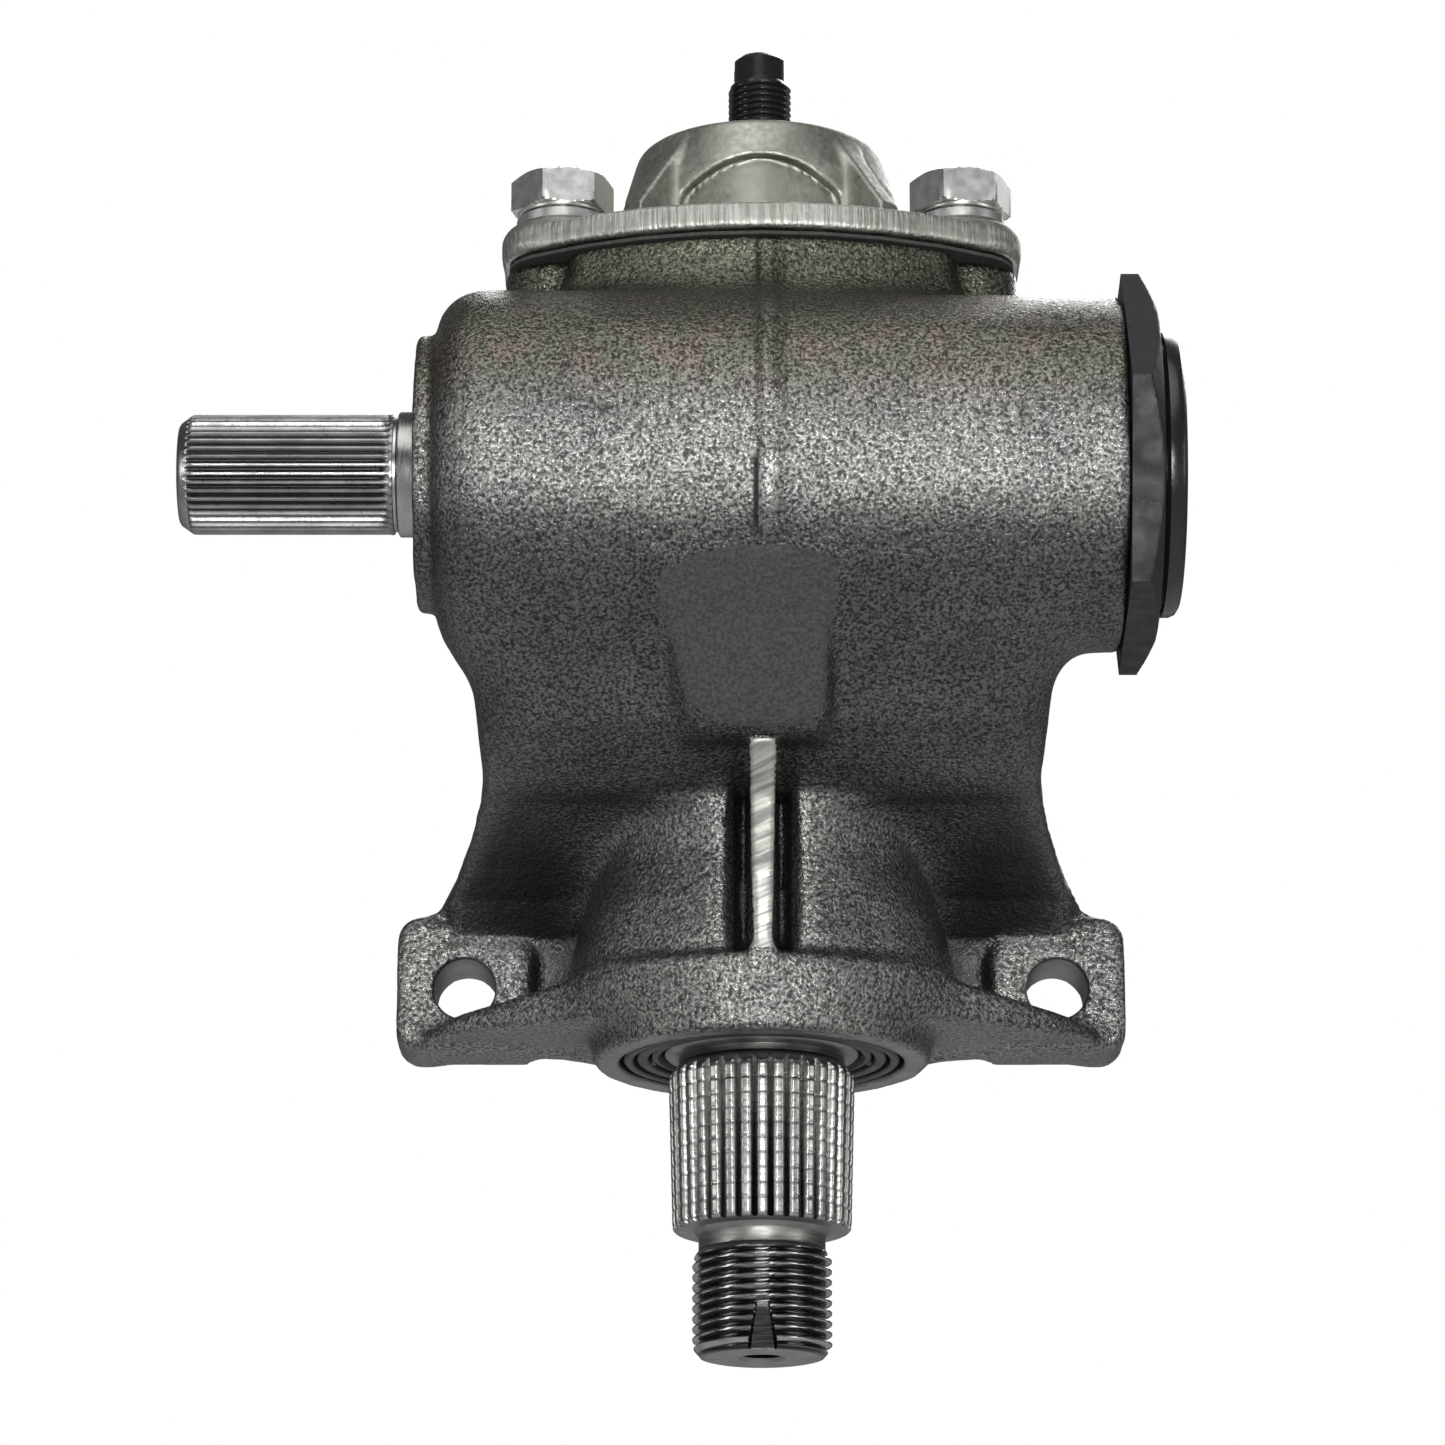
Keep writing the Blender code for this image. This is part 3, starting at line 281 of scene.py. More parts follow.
def oval(x, y, wide, deep):
    """An ellipse with these half axes."""
    scaled = np.hypot(x / wide, y / deep)
    return scaled * (scaled - 1) / np.maximum(np.hypot(x / wide**2, y / deep**2), 1e-3)


def plane(x, y, z, a, b, c, inside):
    """Distance from the plane through three points, negative on the side of the point inside."""
    a, b, c, inside = [np.array(point, float) for point in (a, b, c, inside)]
    normal = np.cross(b - a, c - a)
    normal /= np.linalg.norm(normal)
    if normal @ (inside - a) > 0:
        normal = -normal
    return (x - a[0]) * normal[0] + (y - a[1]) * normal[1] + (z - a[2]) * normal[2]


def bump_mask(value, low, high, soft):
    """1 between low and high, and 0 outside, with soft edges."""
    return np.clip((value - low) / soft + 0.5, 0, 1) * np.clip((high - value) / soft + 0.5, 0, 1)


def waves(x, y, z, size, seed):
    """A gentle unevenness with features of about this size, between -1 and 1."""
    random = np.random.default_rng(seed)
    total = 0.0
    for _ in range(8):
        way = random.normal(size=3)
        way *= 2 * np.pi / size / np.linalg.norm(way)
        total = total + np.sin(x * way[0] + y * way[1] + z * way[2] + random.uniform(0, 6.28))
    return total / 8


def shell_points(field, low, high, step):
    """Corners and faces of a field's surface: one point in each grid cell that the surface crosses."""
    lines = [np.arange(a - 1.5 * step, b + 2.5 * step, step, dtype=np.float32) for a, b in zip(low, high)]
    values = field(lines[0][:, None, None], lines[1][None, :, None], lines[2][None, None, :])
    inside = values < 0
    nx, ny, nz = [size - 1 for size in values.shape]
    steps = list(product((0, 1), repeat=3))
    full = sum(inside[i:nx + i, j:ny + j, k:nz + k].astype(np.int8) for i, j, k in steps)
    active = (full > 0) & (full < 8)
    cells = np.argwhere(active)
    number = np.full(active.shape, -1, np.int32)
    number[active] = np.arange(len(cells))
    total = np.zeros((len(cells), 3))
    hits = np.zeros(len(cells))
    for axis, unit in enumerate(np.eye(3, dtype=int)):
        for start in steps:
            if start[axis]:
                continue
            here = tuple((cells + start).T)
            there = tuple((cells + start + unit).T)
            crossed = inside[here] != inside[there]
            share = values[here][crossed] / (values[here][crossed] - values[there][crossed])
            total[crossed] += np.array(start) + share[:, None] * unit
            hits += crossed
    origin = np.array([line[0] for line in lines])
    points = origin + step * (cells + total / hits[:, None])
    return points, net_faces(inside, number)


def net_faces(inside, number):
    """A face around each grid edge that the surface crosses."""
    faces = []
    unit = np.eye(3, dtype=int)
    for axis in range(3):
        u, v = (axis + 1) % 3, (axis + 2) % 3
        low_side = [slice(None)] * 3
        high_side = [slice(None)] * 3
        low_side[axis], high_side[axis] = slice(0, -1), slice(1, None)
        crossed = inside[tuple(low_side)] != inside[tuple(high_side)]
        at = np.argwhere(crossed)
        within = (at > 0) & (at < number.shape)
        at = at[within[:, u] & within[:, v]]
        around = (at - unit[u] - unit[v], at - unit[v], at, at - unit[u])
        quads = np.stack([number[tuple(cell.T)] for cell in around], axis=1)
        outward = inside[tuple(at.T)]
        faces.append(np.where(outward[:, None], quads, quads[:, ::-1]))
    return np.vstack(faces)


def settled(points, field, step, rounds=3):
    """The points moved onto the field's surface, along its slope."""
    nudge = 0.05
    for _ in range(rounds):
        x, y, z = points.T
        here = field(x, y, z)
        slope = np.stack([
            field(x + nudge, y, z) - field(x - nudge, y, z),
            field(x, y + nudge, z) - field(x, y - nudge, z),
            field(x, y, z + nudge) - field(x, y, z - nudge),
        ], axis=1) / (2 * nudge)
        size = np.maximum((slope**2).sum(axis=1), 0.05)
        move = slope * (here / size)[:, None]
        points = points - np.clip(move, -step / 2, step / 2)
    return points


def cast_piece(name, rough, fine, box, step, materials, kinds, node, body="gearbox_body"):
    """A casting or forging from its field; fine adds small detail, and kinds picks each face's material."""
    points, faces = shell_points(rough, *box, step)
    points = settled(points, fine, step)
    piece = new_piece(name, points, faces.tolist(), materials, node, body, sharp=None)
    if kinds:
        set_materials(piece, kinds(*points[faces].mean(axis=1).T))


# -------------------- materials

def grey(value):
    """A neutral colour."""
    return (value, value, value)


class Nodes:
    """A node tree that is built one short step at a time."""

    def __init__(self, tree):
        self.tree = tree

    def node(self, kind, links=None, **settings):
        """A new node; links gives each socket a value or another node's output."""
        made = self.tree.nodes.new(kind)
        for setting, value in settings.items():
            setattr(made, setting, value)
        for socket, value in (links or {}).items():
            if hasattr(value, "is_linked"):
                self.tree.links.new(value, made.inputs[socket])
            else:
                made.inputs[socket].default_value = value
        return made

    def maths(self, operation, *values):
        return self.node("ShaderNodeMath", dict(enumerate(values)), operation=operation).outputs[0]


class Finish(Nodes):
    """A Principled material."""

    def __init__(self, name, colour, roughness, metallic):
        self.material = bpy.data.materials.new(name)
        self.material.use_nodes = True
        self.material.diffuse_color = (*colour, 1.0)
        super().__init__(self.material.node_tree)
        self.shader = self.tree.nodes["Principled BSDF"]
        starts = {"Base Color": (*colour, 1.0), "Roughness": roughness, "Metallic": metallic}
        for socket, value in starts.items():
            self.shader.inputs[socket].default_value = value
        self.place = self.tree.nodes.new("ShaderNodeTexCoord").outputs["Object"]

    def vector(self, operation, *values):
        return self.node("ShaderNodeVectorMath", dict(enumerate(values)), operation=operation).outputs[0]

    def noise(self, size, detail=2.0, stretch=(1, 1, 1), contrast=0.5):
        """Noise with features of about size millimetres."""
        moved = self.vector("MULTIPLY", self.place, tuple(value / (size * MM) for value in stretch))
        links = {"Vector": moved, "Scale": 1.0, "Detail": detail, "Roughness": contrast}
        return self.node("ShaderNodeTexNoise", links).outputs["Fac"]

    def pebbles(self, size):
        """Soft round grains of about size millimetres."""
        links = {"Vector": self.place, "Scale": 1 / (size * MM), "Smoothness": 0.6}
        return self.node("ShaderNodeTexVoronoi", links, feature="SMOOTH_F1").outputs["Distance"]

    def ramp(self, value, *stops):
        """Values or colours between stops of (place, value)."""
        made = self.node("ShaderNodeValToRGB", {"Fac": value})
        for mark, (place, shade) in zip(made.color_ramp.elements, stops):
            mark.position = place
            mark.color = (*(shade if isinstance(shade, tuple) else grey(shade)), 1.0)
        return made.outputs["Color"]

    def risen(self, value, low, high):
        """0 below low and 1 above high millimetres."""
        links = {"Value": value, "From Min": low * MM, "From Max": high * MM}
        return self.node("ShaderNodeMapRange", links, interpolation_type="SMOOTHSTEP").outputs["Result"]

    def between(self, axis, low, high):
        """0 below low and 1 above high millimetres along an axis."""
        return self.risen(self.node("ShaderNodeSeparateXYZ", {0: self.place}).outputs[axis], low, high)

    def strip(self, axis, low, high, soft):
        """1 between low and high millimetres along an axis, and 0 more than soft outside."""
        risen = self.between(axis, low - soft, low)
        return self.maths("SUBTRACT", risen, self.between(axis, high, high + soft))

    def from_axis(self, axis, at, near, far):
        """0 nearer than near to a line along an axis, and 1 farther than far, in millimetres."""
        flat = [1.0, 1.0, 1.0]
        flat[axis] = 0.0
        moved = self.vector("SUBTRACT", self.place, tuple(value * MM for value in at))
        flattened = self.vector("MULTIPLY", moved, tuple(flat))
        away = self.node("ShaderNodeVectorMath", {0: flattened}, operation="LENGTH").outputs["Value"]
        return self.risen(away, near, far)

    def opposite(self, share):
        """1 where share is 0, and 0 where it is 1."""
        return self.maths("SUBTRACT", 1.0, share)

    def both(self, a, b):
        """Where two masks overlap."""
        return self.maths("MULTIPLY", a, b)

    def mix(self, share, a, b, blend="MIX"):
        """Colour a where share is 0, and b, or a changed by b, where it is 1."""
        made = self.node("ShaderNodeMix", {"Factor": share}, data_type="RGBA", blend_type=blend)
        for socket, value in ((6, a), (7, b)):
            if hasattr(value, "is_linked"):
                self.tree.links.new(value, made.inputs[socket])
            else:
                made.inputs[socket].default_value = (*value, 1.0)
        return made.outputs[2]

    def tint(self, share, shade, by):
        """A shade multiplied by a colour where share is 1."""
        return self.mix(share, shade, by, "MULTIPLY")

    def finished(self, colour, roughness, *bumps):
        """The material with its colour, roughness, and bumps of (height, depth in mm, strength)."""
        links = self.tree.links
        links.new(colour, self.shader.inputs["Base Color"])
        if roughness is not None:
            links.new(roughness, self.shader.inputs["Roughness"])
        normal = None
        for height, depth, strength in bumps:
            sockets = {"Height": height, "Distance": depth * MM, "Strength": strength}
            made = self.node("ShaderNodeBump", sockets)
            if normal is not None:
                links.new(normal, made.inputs["Normal"])
            normal = made.outputs["Normal"]
        links.new(normal, self.shader.inputs["Normal"])
        return self.material


def cast_iron():
    """Dark sand-cast iron: a coarse grain that sparkles, faint stains, and a warm tint towards the top.

    Masks along the object's own axes paint shade into the colour: darker on the underside, on the neck
    under the cover's flange, in the recesses behind the ears and beside the sleeve, and in the gutters
    beside the rib. At the step where the two mould halves meet they paint a dark line of shadow and a
    bright line of highlight.
    """
    finish = Finish("cast_iron_rough", (0.11, 0.11, 0.105), 0.36, 0.9)
    grain = finish.noise(0.5, 3.0, contrast=0.65)
    large = finish.noise(14.0, 3.0)
    blotches = finish.ramp(large, (0.3, (0.09, 0.09, 0.088)), (0.7, (0.125, 0.124, 0.118)))
    speckle = finish.ramp(grain, (0.4, 0.26), (0.6, 1.72))
    shade = finish.tint(1.0, blotches, speckle)
    # Painted shade: the underside, between 26 and 46 mm up, is darkened.
    shade = finish.tint(finish.strip(2, 26.0, 46.0, 8.0), shade, grey(0.58))
    # Painted shade: the neck under the cover's flange is darkened.
    shade = finish.tint(finish.between(2, 86.0, 90.0), shade, (0.72, 0.72, 0.7))
    # Painted shade: two recesses on each side, behind the ear and beside the sleeve, are painted dark.
    for side in (-1, 1):
        for across, up, near, far, recess_shade in ((36.0, 13.0, 3.0, 12.0, 0.05), (30.0, 3.2, 2.5, 7.0, 0.04)):
            shade = finish.mix(finish.from_axis(1, (side * across, 0.0, up), near, far), grey(recess_shade), shade)
    at_front = finish.opposite(finish.between(1, -42.0, -38.0))
    on_sleeve = finish.both(finish.strip(2, -2.0, 20.0, 2.0), at_front)
    gutters = finish.maths("ADD", finish.strip(0, -3.9, -2.2, 0.6), finish.strip(0, 2.2, 3.9, 0.6))
    # Painted shade: the gutters on each side of the rib are painted dark.
    shade = finish.mix(finish.both(gutters, on_sleeve), shade, grey(0.025))
    on_step = finish.both(finish.strip(2, 48.0, 56.0, 1.5), at_front)
    # Painted shadow: a dark line along the foot of the mould step.
    shade = finish.mix(finish.both(finish.strip(0, -1.3, -0.9, 0.3), on_step), shade, grey(0.02))
    # Painted highlight: a bright band beside the mould step, where it catches the light.
    bright = finish.tint(1.0, shade, grey(1.5))
    shade = finish.mix(finish.both(finish.strip(0, -0.4, 1.6, 0.5), on_step), shade, bright)
    stains = finish.ramp(finish.noise(7.0, 2.0), (0.52, 0.0), (0.6, 1.0))
    olive, warm = finish.tint(1.0, shade, (0.82, 0.82, 0.68)), finish.tint(1.0, shade, (0.9, 0.78, 0.7))
    patches = finish.both(stains, finish.opposite(finish.between(2, 84.0, 90.0)))
    return finish.finished(
        finish.mix(finish.between(2, 62.0, 72.0), shade, finish.mix(patches, olive, warm)),
        finish.ramp(grain, (0.35, 0.4), (0.65, 0.2)),
        (finish.noise(2.2, 2.0), 0.25, 0.5), (grain, 0.22, 1.0), (finish.pebbles(0.7), 0.1, 0.7),
    )


def cut_iron():
    """Machined faces of the housing: grey, with fine tool marks."""
    finish = Finish("cast_iron_machined", (0.17, 0.17, 0.165), 0.36, 1.0)
    marks = finish.noise(0.5, 2.0, (0.25, 1.0, 1.0))
    return finish.finished(
        finish.ramp(finish.noise(5.0, 3.0), (0.3, (0.12, 0.12, 0.117)), (0.7, (0.2, 0.2, 0.195))),
        finish.ramp(marks, (0.3, 0.3), (0.7, 0.46)),
        (marks, 0.03, 0.5),
    )


def ground_iron():
    """The rib's front, ground bright with slanting scratches."""
    finish = Finish("cast_iron_ground", (0.3, 0.3, 0.28), 0.5, 0.9)
    slant = (0, math.radians(22), 0)
    slanted = finish.node("ShaderNodeMapping", {"Vector": finish.place, "Rotation": slant})
    scaled = finish.vector("MULTIPLY", slanted.outputs[0], (120, 120, 1900))
    scratches = finish.node("ShaderNodeTexNoise", {"Vector": scaled, "Scale": 1.0}).outputs["Fac"]
    return finish.finished(
        finish.ramp(scratches, (0.36, (0.17, 0.17, 0.16)), (0.62, (0.36, 0.36, 0.33))),
        finish.ramp(scratches, (0.3, 0.6), (0.7, 0.42)),
        (scratches, 0.08, 0.7), (finish.noise(0.5), 0.05, 0.5),
    )


def smooth_iron():
    """The flat patch under the barrel, smoother than the sand-cast skin round it, darkened as painted
    shade.
    """
    finish = Finish("cast_iron_smooth", (0.11, 0.11, 0.107), 0.42, 0.9)
    grain = finish.noise(0.5, 3.0)
    return finish.finished(
        # Painted shade: these colours are kept dark for the patch's place under the barrel.
        finish.ramp(grain, (0.36, (0.045, 0.045, 0.044)), (0.64, (0.085, 0.085, 0.083))),
        finish.ramp(grain, (0.3, 0.5), (0.7, 0.35)),
        (finish.noise(2.4), 0.1, 0.5), (grain, 0.09, 0.8),
    )


def cast_aluminium():
    """The die-cast cover: light warm grey with dull patches, and upright trimming marks round its edge."""
    finish = Finish("cast_aluminium_dull", (0.45, 0.45, 0.42), 0.46, 0.95)
    patches, skin = finish.noise(7.0, 4.0), finish.noise(0.9, 3.0)
    shade = finish.ramp(patches, (0.32, (0.165, 0.165, 0.145)), (0.68, (0.27, 0.268, 0.24)))
    upright = finish.ramp(finish.noise(0.55, 2.0, (1.0, 1.0, 0.06)), (0.4, 0.0), (0.62, 1.0))
    marks = finish.both(upright, finish.opposite(finish.between(2, FLANGE_TOP - 0.6, FLANGE_TOP + 0.3)))
    return finish.finished(
        finish.mix(marks, shade, (0.3, 0.3, 0.285)),
        finish.ramp(skin, (0.3, 0.4), (0.7, 0.6)),
        (marks, 0.1, 0.5), (skin, 0.1, 0.6), (patches, 0.4, 0.25),
    )


def turned_steel(name, colour, roughness, pitch=0.35, axis=2, depth=0.02, groove_shade=None):
    """Machined steel with fine turning marks around an axis.

    groove_shade gives a line along that axis and two radii: inside the first the grooves are painted dark
    as painted shade, and beyond the second the metal keeps its colour.
    """
    finish = Finish(name, colour, roughness, 1.0)
    stretch = [0.12, 0.12, 0.12]
    stretch[axis] = 1.0
    marks = finish.noise(pitch, 2.0, tuple(stretch))
    dark = tuple(value * 0.72 for value in colour)
    shade = finish.ramp(finish.noise(4.0, 3.0), (0.35, dark), (0.65, colour))
    # Painted shade: near the axis, in the grooves and roots, the colour goes dark.
    if groove_shade:
        shade = finish.mix(finish.from_axis(axis, *groove_shade), grey(0.02), shade)
    return finish.finished(
        shade,
        finish.ramp(marks, (0.3, roughness * 0.8), (0.7, roughness * 1.35)),
        (marks, depth, 0.6),
    )


def black_oxide(name, roughness, scuffs):
    """Oiled black oxide; scuffs is how much bare metal shows at worn specks."""
    black = (0.022, 0.022, 0.024)
    finish = Finish(name, black, roughness, 0.7)
    worn = finish.ramp(finish.noise(0.7, 4.0), (0.64, 0.0), (0.76, scuffs))
    return finish.finished(
        finish.mix(worn, black, (0.3, 0.3, 0.31)),
        finish.ramp(finish.noise(2.5, 3.0), (0.3, roughness * 0.8), (0.7, roughness * 1.3)),
        (finish.noise(0.6, 3.0), 0.03, 0.5),
    )


def clouded(name, base, cloud, tones, dulls, skin):
    """A finish whose colour and roughness follow one noise, over a fine skin.

    base is (colour, roughness, metallic), cloud is that noise's size and detail, tones and dulls are
    its ramps' stops, and skin is the size, detail and depth of the bumps.
    """
    finish = Finish(name, *base)
    value = finish.noise(*cloud)
    return finish.finished(
        finish.ramp(value, *tones),
        finish.ramp(value, *dulls),
        (finish.noise(*skin[:2]), skin[2], 0.5),
    )


def paper():
    """Dark gasket paper with fibres."""
    finish = Finish("gasket_fibre", (0.05, 0.045, 0.04), 0.85, 0.0)
    fibres = finish.noise(0.8, 4.0)
    return finish.finished(
        finish.ramp(fibres, (0.3, (0.012, 0.011, 0.01)), (0.7, (0.03, 0.027, 0.024))),
        None,
        (fibres, 0.05, 0.5),
    )


CAST_IRON, CUT_IRON, GROUND_IRON, SMOOTH_IRON = cast_iron(), cut_iron(), ground_iron(), smooth_iron()
ALUMINIUM = cast_aluminium()
# Painted shade in the input spline's grooves.
INPUT_STEEL = turned_steel(
    "input_shaft_steel", (0.2, 0.198, 0.193), 0.34, axis=0, groove_shade=(WORM_AT, 7.95, 8.38)
)
WORM_STEEL = turned_steel("input_shaft_plain", (0.3, 0.297, 0.29), 0.25, axis=0)
OUTPUT_STEEL = turned_steel("output_shaft_steel", (0.2, 0.198, 0.19), 0.4)
# Painted shade in the output spline's grooves.
SPLINE_STEEL = turned_steel(
    "output_spline_steel", (0.3, 0.297, 0.288), 0.34, 0.5, depth=0.05, groove_shade=(SECTOR_AT, 12.1, 12.8)
)
# Painted shade in the thread's roots and in the centre hole.
THREAD_STEEL = turned_steel("thread_steel_dark", (0.3, 0.3, 0.305), 0.2, groove_shade=(SECTOR_AT, 9.0, 9.5))
BEARING_STEEL = turned_steel("bearing_steel_ground", (0.5, 0.5, 0.51), 0.2, axis=0, depth=0.008)
BRONZE = turned_steel("bush_bronze_turned", (0.55, 0.36, 0.17), 0.34)
ZINC = clouded(
    "zinc_bright", ((0.74, 0.74, 0.72), 0.24, 1.0), (1.6, 4.0),
    ((0.35, (0.6, 0.6, 0.585)), (0.65, (0.68, 0.68, 0.665))), ((0.3, 0.27), (0.7, 0.33)), (0.5, 3.0, 0.02),
)
BLACK_SCREW = black_oxide("black_oxide_glossy", 0.22, 0.15)
BLACK_RING = black_oxide("black_oxide_satin", 0.58, 0.12)
RUBBER = clouded(
    "seal_rubber_black", ((0.02, 0.02, 0.021), 0.55, 0.0), (3.0, 4.0),
    ((0.4, (0.008, 0.008, 0.009)), (0.75, (0.022, 0.021, 0.02))), ((0.3, 0.42), (0.7, 0.68)),
    (0.5, 2.0, 0.02),
)
PAPER = paper()


# -------------------- housing

def neck_plan(x, y, inset):
    """The cover's plan moved in by inset: round about the bolts, with a bulging front."""
    centre = COVER_LOW[1] + FRONT_CURVE
    side, rear, from_bolt = np.abs(x) - BOLT_X, y - BOLT_REAR_Y, y - BOLT_FRONT_Y
    front = np.hypot(x, y - centre) - (FRONT_CURVE - FLANGE_CORNER)
    found = highest(side, front, rear)
    found = np.where((side > 0) & (rear > 0), np.hypot(side, rear), found)
    ahead = BOLT_X * from_bolt + (centre - BOLT_FRONT_Y) * side
    corner = (from_bolt < 0) & (side > 0) & (ahead > 0)
    return np.where(corner, np.hypot(side, from_bolt), found) - FLANGE_CORNER + inset


FACET = ((-15.0, -83.4, 44.4), (9.5, -83.4, 44.4), (-8.5, -61.5, 22.2), (8.0, -61.5, 22.2))
IN_BULGE = (0.0, -62.0, 40.0)


def centre_bulge(x, y, z):
    """The fullness under the barrel's middle, with a flat face that slopes back towards the rib."""
    top_left, top_right, foot_left, foot_right = FACET
    behind_left, behind_right = (-12.5, -58.0, 24.0), (10.5, -58.0, 24.0)
    bottom, top, back = 24.6, 46.5, -48.0
    return trimmed(
        plane(x, y, z, top_left, top_right, foot_left, IN_BULGE),
        (plane(x, y, z, top_left, foot_left, behind_left, IN_BULGE), 0.8),
        (plane(x, y, z, top_right, foot_right, behind_right, IN_BULGE), 0.7),
        (span(z, bottom, top), 3.0),
        (y - back, 1.0),
    )


def sleeve(x, y, z):
    """The oval sleeve that widens down to the ledge, with a raised panel on each side of the rib."""
    heights, panel_height = (-4.0, 6.0, 16.0, 24.0), 1.3
    wide = level(z, heights, (29.0, 26.5, 22.5, 17.0))
    deep = level(z, heights, (23.2, 22.6, 22.0, 20.5))
    found = soft_max(oval(x, y - SECTOR_Y, wide, deep), span(z, -9.5, 23.5), 5.0)
    front = np.clip((SECTOR_Y - 10.0 - y) / 4.0, 0, 1)
    panel = bump_mask(np.abs(x), 4.8, 20.0, 2.4) * np.clip((16.0 - np.abs(x)) / 8.0, 0, 1)
    panel = panel * bump_mask(z, -2.0, 18.5, 3.5) * front
    return found - panel_height * panel


def rib(x, y, z):
    """The thin rib down the front of the sleeve."""
    bottom, top, back = -7.0, 24.4, -40.0
    half = level(z, (-6.0, 26.0), (1.25, 1.95))
    found = soft_max(np.abs(x) - half, level(z, RIB_HEIGHTS, RIB_FRONTS) - y, 0.4)
    return highest(found, span(z, bottom, top), y - back)


def ledge(x, y, z):
    """The shelf that joins the collar to both ears: straight edges that leave its round middle."""
    half, deep = np.abs(x), y - SECTOR_Y
    radius, tip, end = 23.2, (45.5, 4.0), 49.0
    heading = math.atan2(tip[1], tip[0]) - math.acos(radius / math.hypot(*tip))
    out = (math.cos(heading), math.sin(heading))
    along = -out[1] * half + out[0] * deep
    straight = out[0] * half + out[1] * deep - radius
    low = level(half, (25.0, end), (EAR_BOTTOM - 0.4, EAR_BOTTOM + 0.4))
    high = level(half, (24.0, 30.0, tip[0], 49.2), (-2.9, -3.5, -5.8, -7.2))
    return trimmed(
        np.where(along < 0, np.hypot(half, deep) - radius, straight),
        (0.8 * (half - tip[0]) - 0.6 * (deep - tip[1]), 1.5),
        (half - end, 1.0),
        (y - np.where(half < EAR_INNER + 1, WEB_BACK - 0.2, WEB_BACK - 0.5), 0.8),
        (span(z, low, high), 1.2),
    )


def ears(x, y, z):
    """Both ears, with the step in the upper edge beside the bolt hole."""
    half, middle, tip_middle = np.abs(x), (EAR_INNER + EAR_END) / 2, (EAR_STEP_X + EAR_END) / 2
    outer = plan_box(half - tip_middle, z, (EAR_END - EAR_STEP_X) / 2, EAR_BOTTOM, EAR_TOP, 3.6)
    lower = plan_box(half - middle, z, EAR_END - middle, EAR_BOTTOM, EAR_STEP, 3.4)
    heel = plan_box(half - middle, z, EAR_END - middle - 0.4, EAR_BOTTOM, 0.0, 0.8)
    heel = np.maximum(heel, half - EAR_INNER - 8.0)
    plan = np.minimum(soft_min(outer, lower, 1.5), heel)
    return trimmed(plan, (-EAR_THICKNESS - y, 1.8), (y, 0.6))


def corner_bosses(x, y, z):
    """The bosses that the cover bolts are screwed into, which lean into the wall below."""
    leaning, bottom = (70.0, 84.0), 68.0
    across = np.abs(x) - level(z, leaning, (24.0, 29.6))
    near = from_bolts(across, y, 1.6) - level(z, leaning, (5.6, 7.4))
    return soft_max(near, span(z, bottom, HOUSING_TOP), 0.8)


# Rows of height, half width, front, back and corner.
CHAMBER = (
    (20.5, 39.5, -49.0, -3.0, 9.0), (27.0, 40.2, -61.5, -3.0, 10.0), (36.0, 41.2, -72.3, -3.0, 10.0),
    (44.0, 41.6, -79.0, -3.0, 10.0), (60.0, 41.6, -79.0, -3.0, 10.0), (86.0, 37.5, -58.0, -3.0, 9.0),
)
FLARE = (
    (7.0, 48.6, -9.0, -3.2, 2.0), (10.6, 48.8, -10.5, -3.2, 2.0), (15.0, 44.6, -22.0, -3.2, 4.0),
    (21.5, 39.6, -43.0, -3.2, 6.0),
)
SCOOP = (
    (-6.5, 42.0, -9.6, -3.2, 2.0), (2.0, 42.0, -10.8, -3.2, 2.0), (5.5, 43.0, -11.6, -3.2, 2.0),
    (7.6, 45.3, -12.6, -3.2, 2.0), (12.0, 45.8, -19.0, -3.2, 2.0), (15.0, 44.0, -26.0, -3.2, 4.0),
    (20.0, 40.0, -40.0, -3.2, 5.0),
)
GUTTER_X, GUTTER_HALF, GUTTER_DEPTH = 2.7, 2.4, 2.6


def housing_body(x, y, z):
    """The casting before any cut; each part joins the rest with a fillet of its own size."""
    worm = from_worm(y, z)
    radius = level(x, (BARREL_LEFT, BARREL_RIGHT), (BARREL_RADIUS_LEFT, BARREL_RADIUS_RIGHT))
    barrel = trimmed(worm - radius, (BARREL_LEFT - x, 8.5), (x - BARREL_RIGHT, 0.9))
    inset_plan = neck_plan(x, y, 1.0)
    neck = trimmed(inset_plan, (np.abs(x) - 27.6, 2.5), (y + 2.5, 3.0), (span(z, 62.0, HOUSING_TOP), 0.6))
    body = joined(
        barrel,
        (drum(worm, x, NOSE_END, -38.0, NOSE_RADIUS, 1.0), 1.2),
        (loft(x, y, z, CHAMBER, 5.0), 6.0),
        (neck, 7.0),
        (corner_bosses(x, y, z), 1.8),
        (centre_bulge(x, y, z), 1.0),
        (loft(x, y, z, FLARE, 3.0), 5.0),
        (highest(span(x, -47.0, 47.0), span(y, -9.2, WEB_BACK), span(z, -8.4, 9.5)), 3.0),
        (loft(x, y, z, SCOOP, 1.0), 2.0),
        (sleeve(x, y, z), 9.0),
    )
    gutter = np.clip(1 - np.abs(np.abs(x) - GUTTER_X) / GUTTER_HALF, 0, 1)
    gutter = gutter * bump_mask(z, -2.5, 22.0, 4.0) * (y < -40.0)
    radius = level(z, (BOSS_BOTTOM, COLLAR_TOP), (BOSS_RADIUS + 0.2, COLLAR_RADIUS))
    return joined(
        body + GUTTER_DEPTH * gutter,
        (rib(x, y, z), 0.5),
        (ledge(x, y, z), 2.0),
        (drum(from_sector(x, y), z, BOSS_BOTTOM, COLLAR_TOP, radius, 1.3), 2.2),
        (ears(x, y, z), 2.6),
    )


